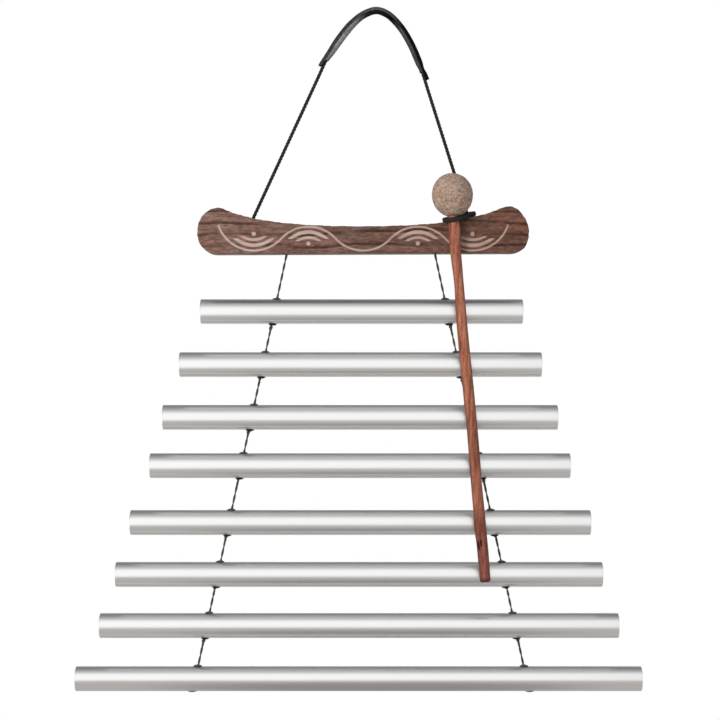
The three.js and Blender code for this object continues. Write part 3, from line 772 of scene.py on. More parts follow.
def header_outline():
    """The outline from its underside, counter-clockwise, as (x, z): a straight foot, a quarter ellipse out to
    the shoulder, a quarter ellipse up to the lobe's top, and a cubic Bezier curve in to the waist; then the
    same mirrored. Above the foot three sine waves along the outline roughen it. Each bump moves the points
    near it along the outline's normal, by a bell curve of their distance from it. The plank was sawn a little
    askew, so its foot rises to the right and its right lobe is the taller one."""
    half = HEADER_LENGTH / 2
    turn = np.linspace(0, np.pi / 2, 28, endpoint=False)
    foot, crown = half - FOOT_WIDTH, half - LOBE_WIDTH
    base = np.stack([np.linspace(0, foot, 60, endpoint=False), np.zeros(60)], axis=1)
    heel = np.stack([foot + FOOT_WIDTH * np.sin(turn), SHOULDER_HEIGHT * (1 - np.cos(turn))], axis=1)
    rise = LOBE_HEIGHT - SHOULDER_HEIGHT
    lobe = np.stack([crown + LOBE_WIDTH * np.cos(turn), SHOULDER_HEIGHT + rise * np.sin(turn)], axis=1)
    t = np.linspace(0, 1, 90)[:, None]
    weights = np.hstack([(1 - t) ** 3, 3 * (1 - t) ** 2 * t, 3 * (1 - t) * t**2, t**3])
    lobe_handles = [(crown, LOBE_HEIGHT), (crown - LOBE_HANDLE, LOBE_HEIGHT)]
    top = weights @ np.array(lobe_handles + [(WAIST_HANDLE, WAIST_HEIGHT), (0, WAIST_HEIGHT)])
    right = np.concatenate([base, heel, lobe, top])
    line = np.concatenate([right, right[1:-1][::-1] * [-1, 1]])
    run = distances(line)
    rough = 0.12 * np.sin(0.31 * run + 1) + 0.1 * np.sin(0.77 * run + 2) + 0.1 * np.sin(1.23 * run)
    rough = rough * np.clip(line[:, 1] / SMOOTH_FOOT, 0, 1)
    for x, z, reach, out in HEADER_BUMPS:
        rough = rough + out * np.exp(-((line[:, 0] - x) ** 2 + (line[:, 1] - z) ** 2) / reach**2)
    line = line + normals(line) * rough[:, None]
    upper = np.clip(line[:, 1] / LOBE_HEIGHT, 0, 1) ** 2
    lower = 1 - np.clip(line[:, 1] / FOOT_REACH, 0, 1)
    lift = upper * (TOP_SLOPE * line[:, 0] - TOP_DROP)
    line[:, 1] += lift + lower * FOOT_SLOPE * (line[:, 0] - FOOT_LOW_POINT)
    return line + [HEADER_MIDDLE, HEADER_BOTTOM]


def plank(outline, thickness, edge):
    """The outline carried from front to back. Near both faces it moves inwards along its own normal by
    edge (1 - sin a), while the depth grows by edge (1 - cos a): a rounded edge."""
    a = np.linspace(0, np.pi / 2, 7)
    inset = edge * (1 - np.sin(a))
    depth = edge * (1 - np.cos(a)) - thickness / 2
    inset = np.concatenate([inset, inset[::-1]])[:, None, None]
    depth = np.concatenate([depth, -depth[::-1]])[:, None]
    flat = outline - inset * normals(outline)
    depth = np.broadcast_to(depth, flat.shape[:2])
    return np.stack([flat[..., 0], depth, flat[..., 1]], axis=-1), False


outline = header_outline()
header_mesh = mesh_of("header_plank", [plank(outline, HEADER_THICKNESS, HEADER_EDGE)])
print("header outline of", len(outline), "points")

# %% [markdown]
# ## The carved ornament
#
# A light wave runs along the header's front. In each of its bays lie two crescents and a dot, upright in the
# troughs and turned over under the crests. It is a common ornament of waves and arcs. It could be painted on
# with a mask, but a carved line has a wall that catches the light. So each figure is a small block with that
# outline, and it is cut 0.4 mm into the wood. The cut keeps the block's own material, bare light
# wood. The middle of the plank stays plain.

# %% The carved wood's finish
bare_wood = new_finish("bare_light_wood", 0.7)
fibres = noise(bare_wood, (25, 420, 420), 5.0)
pale = ramp(bare_wood, fibres, [(0.3, (0.44, 0.32, 0.275)), (0.7, (0.61, 0.475, 0.425))])
warmer = [(0.1, 1), (0.85, (0.9, 0.82, 0.78))]
dress(bare_wood, Base_Color=tinted(bare_wood, 1.0, pale, along_header(bare_wood), warmer))
relief(bare_wood, fibres, 0.00008, 0.6)
print("finish", bare_wood.name)

# %% The ornament's blocks
FACE = -HEADER_THICKNESS / 2
CARVED_DEPTH = 0.4
FIRST_TROUGH = -98.6
BAY = 43.87
WAVE_RADIUS = 30.0
WAVE_LOW = -191.5
WAVE_HIGH = -172.4
WAVE_ENDS = (-127.1, 105.5)
WAVE_WIDTH = 1.65


def upright(line, y):
    """A line of (x, z) points in the upright plane at a depth."""
    return np.stack([line[:, 0], np.full(len(line), y), line[:, 1]], axis=1)


def block(lower, upper):
    """A flat block in the header's face between two lines of (x, z) points."""
    front, back = FACE - 1, FACE + CARVED_DEPTH
    corners = [(lower, front), (lower, back), (upper, back), (upper, front)]
    return np.stack([upright(line, y) for line, y in corners], axis=1), False


def turning_point(bay):
    """The middle of a bay, the height of the wave there, and which way its figures stand."""
    return FIRST_TROUGH + bay * BAY, *((WAVE_LOW, 1) if bay % 2 == 0 else (WAVE_HIGH, -1))


def wave_block():
    """A band along a chain of circle arcs. The nearest trough or crest is a distance d away sideways, and the
    line has risen from the trough, or fallen from the crest, by R - root(R^2 - d^2)."""
    x = np.linspace(*WAVE_ENDS, 420)
    nearest = np.clip(np.round((x - FIRST_TROUGH) / BAY), 0, 4)
    aside = x - FIRST_TROUGH - nearest * BAY
    bend = WAVE_RADIUS - np.sqrt(WAVE_RADIUS**2 - aside**2)
    line = np.stack([x, np.where(nearest % 2 == 0, WAVE_LOW + bend, WAVE_HIGH - bend)], axis=1)
    slope = unit(np.gradient(line, axis=0))
    normal = np.stack([-slope[:, 1], slope[:, 0]], axis=1)
    return block(line - WAVE_WIDTH / 2 * normal, line + WAVE_WIDTH / 2 * normal)


def crescent(bay, outer_half, inner_half, deep, shallow, ends):
    """A crescent with its ends cut level. Both edges are parabolas between the ends, and deep, shallow and
    ends are distances from the wave's turning point. Under a crest it is turned over."""
    middle, base, up = turning_point(bay)
    share = np.linspace(-1, 1, 49)
    edges = [
        np.stack([middle + half * share, base + up * (ends - (ends - depth) * (1 - share**2))], axis=1)
        for half, depth in ((outer_half, deep), (inner_half, shallow))
    ]
    return block(*edges)


def dot(bay, height, radius):
    """A round block: circles in two upright planes."""
    middle, base, up = turning_point(bay)
    angle = angles(32)
    circle = np.stack([middle + radius * np.cos(angle), base + up * height + radius * np.sin(angle)], axis=1)
    return np.stack([upright(circle, y) for y in (FACE - 1, FACE + CARVED_DEPTH)]), False


carving = [wave_block()]
for bay in (0, 1, 3, 4):
    wider = 1.2 if bay == 4 else 0.0
    carving.append(crescent(bay, 17.0 + wider, 12.9 + wider, 2.75, 5.6, 9.8))
    carving.append(crescent(bay, 11.0 + wider, 7.6 + wider, 7.6, 9.8, 11.6))
    carving.append(dot(bay, 13.4, 1.75))
print(len(carving), "carved figures")

# %% Drill and carve the header
ABOVE_HEADER = -140
BELOW_HEADER = HEADER_BOTTOM - 5

header_mesh.materials.append(walnut)
drills = []
for side_name, side in SIDES.items():
    hanger_x = HANGER_FEET[side_name]
    ladder_x = ladder_place(side, HEADER_BOTTOM)[0]
    pocket_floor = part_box(f"ladder_anchor_{side_name}")[1][2] / MM - KNOT_LENGTH - 0.3
    drills += [
        (hanger_x, HEADER_BOTTOM + 5, ABOVE_HEADER, 2.25),
        (hanger_x, BELOW_HEADER, HEADER_BOTTOM + HANGER_POCKET, 3.5),
        (ladder_x, BELOW_HEADER, pocket_floor + 2, 1.3),
        (ladder_x, BELOW_HEADER, HEADER_BOTTOM + 2.2, 2.0),
        (ladder_x, pocket_floor, ABOVE_HEADER, 2.4),
    ]
for x, bottom, top, radius in drills:
    drill = mesh_of("drill", [round_bar((x, 0, bottom), (x, 0, top), radius)])
    header_mesh = cut(header_mesh, drill, walnut)
header_mesh = cut(header_mesh, mesh_of("carving", carving), bare_wood)
add_piece("header_walnut", header_mesh, [], "header", ["header"], 30)
print("header:", len(header_mesh.polygons), "faces,", [m.name for m in header_mesh.materials])

# %% [markdown]
# ## The grip
#
# Where a hand holds the chime, a strip of black leather is rolled around the cord. It could be a plain hose,
# but a rolled strip has an edge where it laps over itself, and that edge is what divides the real grip into a
# dark and a light band. So its section is a spiral: the radius grows by half a millimetre in one turn and
# steps back at the lap. Both ends run out in a tongue on the outside of the arch. The right end is pinched,
# and on the left the inside sags away from the cord in a fold.

# %% Random lumps


def lumps(points, size, seed):
    """Smooth random lumps between -1 and 1: random numbers at the corners of cubes of that size, blended
    inside a cube by 3 s^2 - 2 s^3 along each edge."""
    cell = np.asarray(points) / size
    base = np.floor(cell).astype(int)
    share = cell - base
    share = share * share * (3 - 2 * share)
    table = np.random.default_rng(seed).random((32, 32, 32))
    corner = np.indices((2, 2, 2)).reshape(3, 8).T
    at = (base[..., None, :] + corner) % 32
    weight = np.where(corner == 1, share[..., None, :], 1 - share[..., None, :]).prod(axis=-1)
    return 2 * (table[at[..., 0], at[..., 1], at[..., 2]] * weight).sum(axis=-1) - 1


def rolled_out(run, angle, radius):
    """Points (distance along, radius cos a, radius sin a), where lumps on a round surface are read."""
    return np.stack(np.broadcast_arrays(run, radius * np.cos(angle), radius * np.sin(angle)), axis=-1)


print("lumps at the origin:", round(float(lumps(np.zeros(3), 1.0, 3)), 3))

# %% The grip's shape
GRIP_LEFT_END = [(-44.5, -42.7), (-38, -32.5)]
GRIP_RIGHT_END = [(34.7, -40.3), (39.8, -53.3)]
GRIP_RADIUS = 2.75
GRIP_BORE = 2.05
GRIP_LAP = 0.5
TONGUE = 7.0
LAP = math.radians(87)

grip_line = smooth_line(GRIP_LEFT_END + GRIP_ARCH + GRIP_RIGHT_END, 0.5)
grip_length = distances(grip_line)[-1]


def grip_point(run, angle, radius):
    """The point of the sleeve at a distance along, at an angle from the outside of the arch towards the
    front, and at a radius, all as arrays of the same shape."""
    out = unit(at_distances(run, grip_line, square_to(grip_line)[1]))
    front = np.array([0.0, -1.0, 0.0])
    aside = np.cos(angle)[..., None] * out + np.sin(angle)[..., None] * front
    return at_distances(run, grip_line, grip_line) + radius[..., None] * aside


def grip_sleeve():
    """Rows run along the outside and back along the bore, and columns around from the lap. On the outside of
    the arch both ends are a square tongue; from there to the inside they step back by 3 s^2 - 2 s^3, with s
    the share of the way. The outer radius grows by the lap in one turn and is wrinkled by lumps. Bell curves
    of the distance along pinch it near the right end, and on the inside of the arch one lifts it in a fold
    and one tapers the left end."""
    turn = np.linspace(0, 1, 56)[None, :]
    angle = LAP + 2 * np.pi * turn
    inside = np.clip(((1 - np.cos(angle)) / 2 - 0.3) / 0.3, 0, 1)
    back = TONGUE * (3 * inside**2 - 2 * inside**3)
    share = np.concatenate([np.linspace(0, 1, 200), np.linspace(1, 0, 60)])[:, None]
    run = back + share * (grip_length - 2 * back)
    outside = (np.arange(260) < 200)[:, None]
    pinch = 1 - 0.24 * bell(run - grip_length + 9.5, 3.6)
    wrinkle = 0.07 * lumps(rolled_out(run, angle, 9), 4.0, 5)
    fold = 1.1 * bell(run / grip_length - 0.23, 0.13) - 0.75 * bell(run - 6, 7)
    fold = fold * np.clip(-np.cos(angle), 0, 1)
    outer = (GRIP_RADIUS + GRIP_LAP * turn + wrinkle) * pinch + fold
    radius = np.where(outside, outer, GRIP_BORE * pinch)
    return grip_point(run, angle + 0 * run, radius), True


grip_mesh = mesh_of("grip_leather", [grip_sleeve()])
print("grip", round(grip_length, 1), "mm long,", len(grip_mesh.polygons), "faces")

# %% The leather's finish
# Greys along the grip for the outside and the inside of the lap. They are partly the leather's own tones and
# partly painted light and shade: the outside is painted lighter on top of the arch, where light falls, and
# the inside black under it, where shade falls.
INNER_TONES = [(0.0, 0.2), (0.08, 0.27), (0.26, 0.25), (0.38, 0.015), (0.57, 0.0), (0.66, 0.07), (1.0, 0.06)]
OUTER_TONES = [(0.0, 0.05), (0.3, 0.04), (0.46, 0.11), (0.55, 0.07), (0.63, 0.004), (1.0, 0.003)]

leather = new_finish("leather_tones_and_shade", 0.6, gloss=0.06)
place = add_node(leather, "ShaderNodeUVMap").outputs["UV"]
spot = add_node(leather, "ShaderNodeSeparateXYZ", Vector=place)
run_share = sums(leather, "DIVIDE", spot.outputs["X"], grip_length)
bands = [
    ramp(leather, run_share, [(at, (grey, grey * 0.98, grey * 0.96)) for at, grey in band_tones])
    for band_tones in (INNER_TONES, OUTER_TONES)
]
side_of_lap = ramp(leather, spot.outputs["Y"], [(0.24, 0), (0.34, 1)])
hide = noise(leather, (520, 520, 520), 5.0)
pebble = noise(leather, (1500, 1500, 1500), 2.0)
banded = blend(leather, side_of_lap, *bands)
dress(leather, Base_Color=tinted(leather, 1.0, banded, hide, [(0.3, 0.5), (0.7, 1.25)]))
relief(leather, plus(leather, hide, times(leather, pebble, 0.6)), 0.00012, 0.6)
add_piece("grip_leather", grip_mesh, [leather], "hanger", ["grip_sleeve"])
print("finish", leather.name)

# %% [markdown]
# ## The rubber ring
#
# A rubber ring goes around the stick and the hanger cord and holds the beater. Stretched over two round
# things it takes the shape of a belt over two pulleys: an arc around each and straight runs between. A
# rounded square is carried along that loop. The loop is tilted to lie on the header's sloping top, and its
# front hangs down over the edge with the beater's weight.

# %% The rubber ring
RING_SECTION = 3.2
RING_TILT = 0.154854
RING_DROOP = math.radians(8)
RING_AT_CORD = np.array([74.4, 0.0, -161.609])
RING_SAG = 0.45
STICK_FROM_CORD = (-13.4, -18.45)
RING_FRONT = 5.4 + RING_SECTION / 2
RING_BACK = 2.9 + RING_SECTION / 2
RING_BEHIND = 1.15


def belt():
    """The belt's line in the ring's own plane, with the cord at its origin: the arc around the stick, then
    the arc around the cord. The straight runs touch both circles where their radii are square to the run."""
    stick_x = STICK_FROM_CORD[0] / math.cos(RING_TILT)
    tipped = stick_x * math.sin(RING_TILT) * math.sin(RING_DROOP)
    stick_at = np.array([stick_x, (STICK_FROM_CORD[1] + tipped) / math.cos(RING_DROOP) + 0.5])
    cord_at = np.array([0, RING_BEHIND])
    apart = cord_at - stick_at
    heading = math.atan2(apart[1], apart[0])
    touch = math.acos((RING_FRONT - RING_BACK) / np.linalg.norm(apart))
    front = np.linspace(heading + touch, heading - touch + 2 * np.pi, 70)
    back = np.linspace(heading - touch, heading + touch, 50)
    front = stick_at + RING_FRONT * np.stack([np.cos(front), np.sin(front)], axis=1)
    back = cord_at + RING_BACK * np.stack([np.cos(back), np.sin(back)], axis=1)
    share = np.linspace(0, 1, 12)[1:-1]
    return np.concatenate(
        [front, straight(front[-1], back[0], share), back, straight(back[-1], front[0], share)]
    )


def ring():
    """A rounded square carried along the belt, (cos a, sin a) over the fourth root of cos^4 a + sin^4 a. Its
    lower half is a little taller. The plane is then tilted to the side, and tipped to the front."""
    line = belt()
    angle = angles(28)
    square = RING_SECTION / 2 / (np.cos(angle) ** 4 + np.sin(angle) ** 4) ** 0.25
    flat = line[:, None] + (square * np.cos(angle))[:, None] * normals(line)[:, None]
    x, y = flat[..., 0], flat[..., 1]
    z = square * np.sin(angle)
    z = np.broadcast_to(np.where(z < 0, z * (1 + 2 * RING_SAG / RING_SECTION), z), x.shape)
    x, z = turned(x, z, RING_TILT)
    y, z = turned(y, z, RING_DROOP)
    return np.stack([x, y, z], axis=-1) + RING_AT_CORD, True


ring_mesh = mesh_of("ring_rubber", [ring()])
add_piece("ring_rubber", ring_mesh, [rubber], "header", ["ring"])
print("ring of", len(ring_mesh.polygons), "faces")

# %% [markdown]
# ## The cork ball
#
# The beater's head is a ball of pressed cork granules. A smooth ball with a picture of cork would have a
# clean edge, so the sphere itself is made uneven by two sizes of random lumps. The granules are a Voronoi
# pattern: each cell has a random shade, and the border between cells is a dark crack.

# %% The cork ball
BEATER_PLACE = np.array([58.685, -18.45, -147.708])
STICK_LEAN = math.radians(5.24)
BALL_RADIUS = 16.5
BALL_HALF_LENGTH = 17.7
BALL_OFFSET = 1.8
GRANULES = [(0.0, (0.29, 0.19, 0.135)), (0.4, (0.43, 0.3, 0.225)), (1.0, (0.58, 0.425, 0.34))]


def leaning(points):
    """Points of the upright beater, leaned to the side and put in place."""
    x, z = turned(points[..., 0], points[..., 2], STICK_LEAN)
    return BEATER_PLACE + np.stack([x, points[..., 1], z], axis=-1)


def cork_ball():
    """A sphere of latitudes and longitudes, a little longer along the stick, its radius changed by coarse and
    fine lumps."""
    polar = np.linspace(0.012, np.pi - 0.012, 120)[:, None]
    turn = angles(210)
    level = np.sin(polar)
    out = np.stack([level * np.cos(turn), level * np.sin(turn), np.cos(polar) + 0 * turn], axis=-1)
    uneven = 0.14 * lumps(out * BALL_RADIUS, 5.0, 11) + 0.16 * lumps(out * BALL_RADIUS, 1.5, 12)
    egg = (BALL_RADIUS - 0.1 + uneven)[..., None] * out * [1, 1, BALL_HALF_LENGTH / BALL_RADIUS]
    return leaning(egg + [BALL_OFFSET, 0, 0]), False


cork = new_finish("pressed_cork", 0.85, gloss=0.3)
place = stretched(cork, (720, 720, 720))
cells = add_node(cork, "ShaderNodeTexVoronoi", Vector=place, Scale=1.0)
borders = add_node(cork, "ShaderNodeTexVoronoi", Vector=place, Scale=1.0)
borders.feature = "DISTANCE_TO_EDGE"
crack = borders.outputs["Distance"]
shade = add_node(cork, "ShaderNodeSeparateColor", Color=cells.outputs["Color"]).outputs["Red"]
grit = noise(cork, (1250, 1250, 1250))
speckled = ramp(cork, shade, GRANULES)
speckled = tinted(cork, 0.55, speckled, grit, [(0.36, (0.58, 0.54, 0.51)), (0.6, 1.2)])
speckled = tinted(cork, 0.6, speckled, crack, [(0.0, (0.62, 0.57, 0.54)), (0.14, 1)])
dress(cork, Base_Color=speckled)
relief(cork, plus(cork, grit, times(cork, crack, 1.5)), 0.0004, 0.6)
ball_mesh = mesh_of("ball_cork", [cork_ball()])
add_piece("ball_cork", ball_mesh, [cork], "beater", ["beater_ball"])
print("ball of", len(ball_mesh.polygons), "faces")

# %% [markdown]
# ## The stick
#
# The handle is a natural stick, reddish and nearly straight, with a scar near its foot. A turned rod would be
# too perfect: the line wanders by a few tenths of a millimetre, the thickness changes along it, and flats run
# up its sides. The scar is a dent with a bell-shaped profile. The same bell curve is kept as an attribute,
# so that the finish can darken the wood in the dent.

# %% The stick's shape
STICK_RADIUS = 4.4
STICK_LENGTH = 312.4
STICK_TOP = 2.3
STICK_BOW = 0.6
STICK_END = 1.7
STICK_ASIDE = 0.2
STICK_BENDS = [(175, 42, 0.55), (27, 9, 0.85)]
STICK_TOE = (284, 28, 0.45)
THICK_PLACE = (33, 9)
THIN_PLACE = (72, 24)
THICKER = 0.45
SCARS = [(280.4, 220, 4.2, 0.28), (278.6, 256, 3.0, 0.19)]
SCAR_DEPTH = 0.6
SWELLING = (267.0, 185, 9.0, 0.9)
SWELLING_HEIGHT = 0.7


def bump(run, angle, at, bearing, half_length, half_width):
    """A bump exp(-(distance along / half length)^2 - (angle off / half width)^2) at a place on the stick."""
    off = np.angle(np.exp(1j * (angle - math.radians(bearing))))
    return np.exp(-(((run - STICK_TOP - at) / half_length) ** 2) - (off / half_width) ** 2)


def stick():
    """Circles along a line that bows by 4 b t (1 - t) / 2, bends aside by bell curves, turns back at the toe
    and wanders with noise. The radius also follows noise, grows and shrinks by two bell curves on the side
    that the line bends to, is rounded off at the foot as a quarter circle, dips by bumps turned inwards at
    the two scars and swells by another above them."""
    rounding = STICK_LENGTH - STICK_END * (1 - np.sin(np.linspace(0, np.pi / 2, 8)))
    upper = np.linspace(0, STICK_LENGTH - STICK_END, 260, endpoint=False)
    run = np.concatenate([upper, rounding])[:, None]
    angle = angles(72)[None, :]
    t = run / STICK_LENGTH
    spine = run * [1.0, 0.0, 0.0]
    wander = 0.16 * lumps(spine, 34.0, 21)[:, None]
    sway = 0.25 * lumps(spine + 500, 40.0, 22)[:, None]
    surface = rolled_out(run, angle, 3) + [0, 60, 60]
    radius = STICK_RADIUS * (1 + 0.022 * lumps(spine, 18.0, 23)[:, None])
    radius = radius + 0.12 * lumps(surface * [0.12, 1, 1], 2.2, 24)
    end = np.clip((run - STICK_LENGTH + STICK_END) / STICK_END, 0, 1)
    radius = radius * (0.72 + 0.28 * np.sqrt(1 - np.minimum(end, 0.999) ** 2))
    scar = np.maximum(*[bump(run, angle, *place) for place in SCARS])
    radius = radius - SCAR_DEPTH * scar + SWELLING_HEIGHT * bump(run, angle, *SWELLING)
    bend = sum((amount * bell(run - at, reach) for at, reach, amount in STICK_BENDS), STICK_ASIDE)
    toe, toe_length, toe_in = STICK_TOE
    bend = bend - toe_in * np.clip((run - toe) / toe_length, 0, 1)
    thick, thin = [bell(run - at, reach) for at, reach in (THICK_PLACE, THIN_PLACE)]
    bend = bend + THICKER * (thick + thin)
    radius = radius + THICKER * (thick - thin)
    x = bend - STICK_BOW * 2 * t * (1 - t) + wander + radius * np.cos(angle)
    y = sway + radius * np.sin(angle)
    z = STICK_TOP - run + 0 * angle
    return leaning(np.stack([x, y, z], axis=-1)), scar, np.abs(np.cos(angle)) + 0 * run


stick_grid, scar, flank = stick()
stick_mesh = mesh_of("stick_wood", [(stick_grid, False)])
keep_numbers(stick_mesh, "scar", scar)
# How far each point faces to the left or right, kept for the painted shade on the stick's sides.
keep_numbers(stick_mesh, "flank", flank)
print("stick of", len(stick_mesh.polygons), "faces")

# %% The stick's finish
# Tints from the top of the stick down to its foot: darker towards the bottom, and the last stop paints shade
# on the rounded end's underside.
DOWN_STICK = [
    (0.14, 0.88),
    (0.34, (0.85, 0.8, 0.74)),
    (0.6, (0.74, 0.71, 0.69)),
    (0.8, (0.69, 0.64, 0.65)),
    (0.95, (0.56, 0.46, 0.53)),
    (0.978, (0.56, 0.46, 0.52)),
    (0.985, (0.22, 0.17, 0.18)),
]
SPECKS = [(0.33, (0.74, 0.71, 0.7)), (0.5, 1), (0.67, (1.3, 1.27, 1.22))]

red_wood = new_finish("red_stick_wood", 0.5, gloss=0.25)
down = times(red_wood, plus(red_wood, coordinate(red_wood, "Z"), 0.165), -3.4)
veins = noise(red_wood, (430, 430, 45), 6.0, 0.3)
patches = noise(red_wood, (70, 70, 22), 3.0)
specks = noise(red_wood, (700, 700, 420), 2.0)
stick_tone_and_shade = ramp(red_wood, veins, [(0.38, (0.28, 0.086, 0.048)), (0.62, (0.57, 0.22, 0.133))])
stick_tone_and_shade = tinted(red_wood, 1.0, stick_tone_and_shade, down, DOWN_STICK)
stick_tone_and_shade = tinted(red_wood, 0.6, stick_tone_and_shade, patches, [(0.38, (0.82, 0.79, 0.78)), (0.62, 1.12)])
stick_tone_and_shade = tinted(red_wood, 0.7, stick_tone_and_shade, specks, SPECKS)
scar_and_side_shade = ramp(red_wood, attribute(red_wood, "scar"), [(0.2, 1), (0.5, (0.05, 0.04, 0.04))])
# Painted shade: the wood is darker on the stick's left and right sides, towards its outline, where light
# falls at a slant.
painted_side_shade = [(0.7, 1), (0.96, (0.6, 0.56, 0.56))]
scar_and_side_shade = tinted(red_wood, 1.0, scar_and_side_shade, attribute(red_wood, "flank"), painted_side_shade)
stick_tone_and_shade = blend(red_wood, 1.0, stick_tone_and_shade, scar_and_side_shade, "MULTIPLY")
dress(red_wood, Base_Color=dulled_in_mirrors(red_wood, stick_tone_and_shade, 0.8, 0.2))
relief(red_wood, veins, 0.00015, 0.6)
add_piece("stick_wood", stick_mesh, [red_wood], "beater", ["beater_stick"])
print("finish", red_wood.name)

# %% [markdown]
# ## The studio
#
# Metal shows its surroundings, so the tubes get their look from a white room with two grey cards in it, as a
# photographer would set up: one arched over the set, open at the front, for the grey upper edge, and one
# lying under it for the warm grey underside. Only reflections see the cards. The white room is also the
# background; what the metal mirrors of it gets a little darker to the right. It lights the wood and cork from
# all around, and one soft lamp at the front left adds the shadow beside the stick. Together they light a
# surface that faces the camera at about one, where a colour comes out as it is written. A pale floor lies
# well below the chime.

# %% The white room
ROOM_LIGHT = 0.5
MIRRORED_LIGHT = 0.98
MIRRORED_LEAST = 0.8
DARKER_RIGHTWARD = 0.45

world = bpy.data.worlds.new("white_room")
world.use_nodes = True
room = world.node_tree.nodes["Background"]
room.inputs["Color"].default_value = (1, 1, 1, 1)
rays = add_node(world, "ShaderNodeLightPath").outputs
bearing = add_node(world, "ShaderNodeTexCoord").outputs["Generated"]
rightward = add_node(world, "ShaderNodeSeparateXYZ", Vector=bearing).outputs["X"]
mirrored = sums(world, "SUBTRACT", MIRRORED_LIGHT, times(world, rightward, DARKER_RIGHTWARD))
mirrored = sums(world, "MINIMUM", sums(world, "MAXIMUM", mirrored, MIRRORED_LEAST), 1.0)
mirrored = times(world, mirrored, rays["Is Glossy Ray"])
white = sums(world, "MAXIMUM", rays["Is Camera Ray"], rays["Is Transmission Ray"])
white = sums(world, "MAXIMUM", white, mirrored)
join(world, sums(world, "MAXIMUM", white, ROOM_LIGHT), room.inputs["Strength"])
bpy.context.scene.world = world
print("room light", ROOM_LIGHT)

# %% The floor and the card above it
FLOOR_HEIGHT = -740.0
FLOOR_RADIUS = 930.0
CARD_HEIGHT = -640.0
CARD_RADIUS = 860.0
CARD_FORWARD = 40.0
CARD_TINT = (1.02, 0.97, 0.935)
CARD_TONES = [(0.0, 0.27), (0.1, 0.26), (0.16, 0.3), (0.25, 0.43), (0.9, 0.42)]


def disc(name, radius, height, forward, rings=24, around=96):
    """A flat disc: circles of growing radius, with the middle moved towards the camera."""
    out = np.linspace(0.01, radius, rings)[:, None]
    turn = angles(around)
    grid = np.stack([out * np.cos(turn), out * np.sin(turn) - forward, 0 * out * turn + height], axis=-1)
    down, across = grid_corners(rings, around, False)
    mesh = bpy.data.meshes.new(name)
    mesh.from_pydata((grid.reshape(-1, 3) * MM).tolist(), [], (down * around + across % around).tolist())
    return mesh


def share_of_radius(finish, radius, forward):
    """Distance from the disc's middle, as a share of its radius."""
    place = add_node(finish, "ShaderNodeTexCoord").outputs["Object"]
    shift = (0, forward * MM, 0)
    flat = add_node(finish, "ShaderNodeMapping", Vector=place, Location=shift, Scale=(1, 1, 0))
    reach = add_node(finish, "ShaderNodeVectorMath")
    reach.operation = "LENGTH"
    join(finish, flat.outputs["Vector"], reach.inputs[0])
    return sums(finish, "DIVIDE", reach.outputs["Value"], radius * MM)


def glow(finish, colour):
    """A surface that shows a colour as it is, without light on it."""
    dress(finish, Base_Color=(0, 0, 0, 1), Specular_IOR_Level=0, Emission_Strength=1, Emission_Color=colour)


def add_stage(name, mesh, finish, mirrored_only):
    """Puts a piece of the studio into the scene."""
    mesh.materials.append(finish)
    piece = bpy.data.objects.new(name, mesh)
    if mirrored_only:
        piece.visible_camera = False
        piece.visible_diffuse = False
        piece.visible_shadow = False
    bpy.context.collection.objects.link(piece)


floor_finish = new_finish("pale_floor", 0.9)
floor_reach = share_of_radius(floor_finish, FLOOR_RADIUS, 0)
dress(floor_finish, Base_Color=(0.8, 0.8, 0.79, 1))
dress(floor_finish, Alpha=ramp(floor_finish, floor_reach, [(0.6, 1), (0.99, 0)]))
add_stage("floor", disc("floor", FLOOR_RADIUS, FLOOR_HEIGHT, 0), floor_finish, False)

card_finish = new_finish("grey_card", 1.0)
card_reach = share_of_radius(card_finish, CARD_RADIUS, CARD_FORWARD)
card_stops = [(place, tuple(tint * grey for tint in CARD_TINT)) for place, grey in CARD_TONES]
glow(card_finish, ramp(card_finish, card_reach, card_stops))
dress(card_finish, Alpha=ramp(card_finish, card_reach, [(0.66, 1), (0.82, 0)]))
add_stage("card", disc("card", CARD_RADIUS, CARD_HEIGHT, CARD_FORWARD), card_finish, True)
print("floor at", FLOOR_HEIGHT * MM, "m")

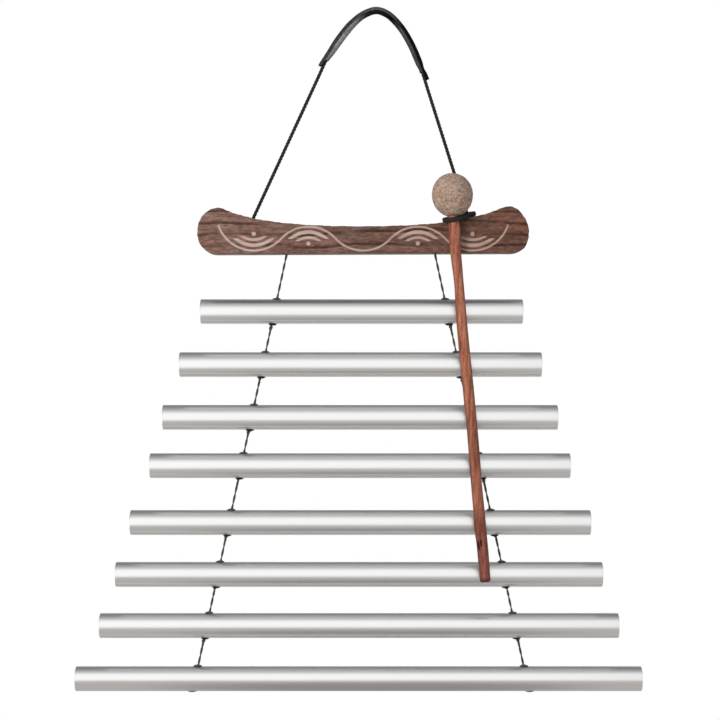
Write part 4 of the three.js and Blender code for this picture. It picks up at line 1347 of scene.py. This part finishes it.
# %% The arched card
ARCH_RADIUS = 0.95
ARCH_MIDDLE = -0.38
ARCH_HALF_LENGTH = 3.2
ARCH_FROM = math.radians(42)
ARCH_TO = math.radians(166)
ARCH_ROWS = 64
ARCH_TONES = [(0.0, 0.97), (0.16, 0.56), (0.35, 0.34), (0.46, 0.27), (0.57, 0.18), (1.0, 0.22)]


def arch_points():
    """Part of a cylinder along X around the chime: at the angle a up from the front it lies at
    (-R cos a, R sin a) in the upright plane."""
    angle = np.linspace(ARCH_FROM, ARCH_TO, ARCH_ROWS)[:, None]
    x = np.array([[-ARCH_HALF_LENGTH, ARCH_HALF_LENGTH]]) + 0 * angle
    y = -ARCH_RADIUS * np.cos(angle) + 0 * x
    z = ARCH_RADIUS * np.sin(angle) + ARCH_MIDDLE + 0 * x
    return np.stack([x, y, z], axis=-1)


arch_mesh = bpy.data.meshes.new("arch")
first = np.arange(ARCH_ROWS - 1)[:, None] * 2
arch_mesh.from_pydata(arch_points().reshape(-1, 3).tolist(), [], (first + np.array([0, 1, 3, 2])).tolist())
keep_numbers(arch_mesh, "share", np.repeat(np.linspace(0, 1, ARCH_ROWS), 2))
arch_finish = new_finish("arched_card", 1.0)
glow(arch_finish, ramp(arch_finish, attribute(arch_finish, "share"), ARCH_TONES))
add_stage("arch", arch_mesh, arch_finish, True)
print("arched card over", round(math.degrees(ARCH_TO - ARCH_FROM)), "degrees")

# %% The soft lamp
LAMP_PLACE = (-0.72, -1.05, 0.06)
LAMP_AIM = (0.0, 0.0, -0.25)

lamp_light = bpy.data.lights.new("soft_lamp", "AREA")
lamp_light.shape = "DISK"
lamp_light.size = 0.5
lamp_light.energy = 9.6
lamp = bpy.data.objects.new("soft_lamp", lamp_light)
lamp.location = LAMP_PLACE
aim = unit(np.array(LAMP_AIM) - np.array(LAMP_PLACE))
lamp.rotation_euler = (math.acos(-aim[2]), 0, math.atan2(aim[1], aim[0]) - math.pi / 2)
lamp.visible_glossy = False
lamp.visible_camera = False
bpy.context.collection.objects.link(lamp)
print("lamp", lamp_light.energy, "W")

# %% Finish
bpy.context.view_layer.update()
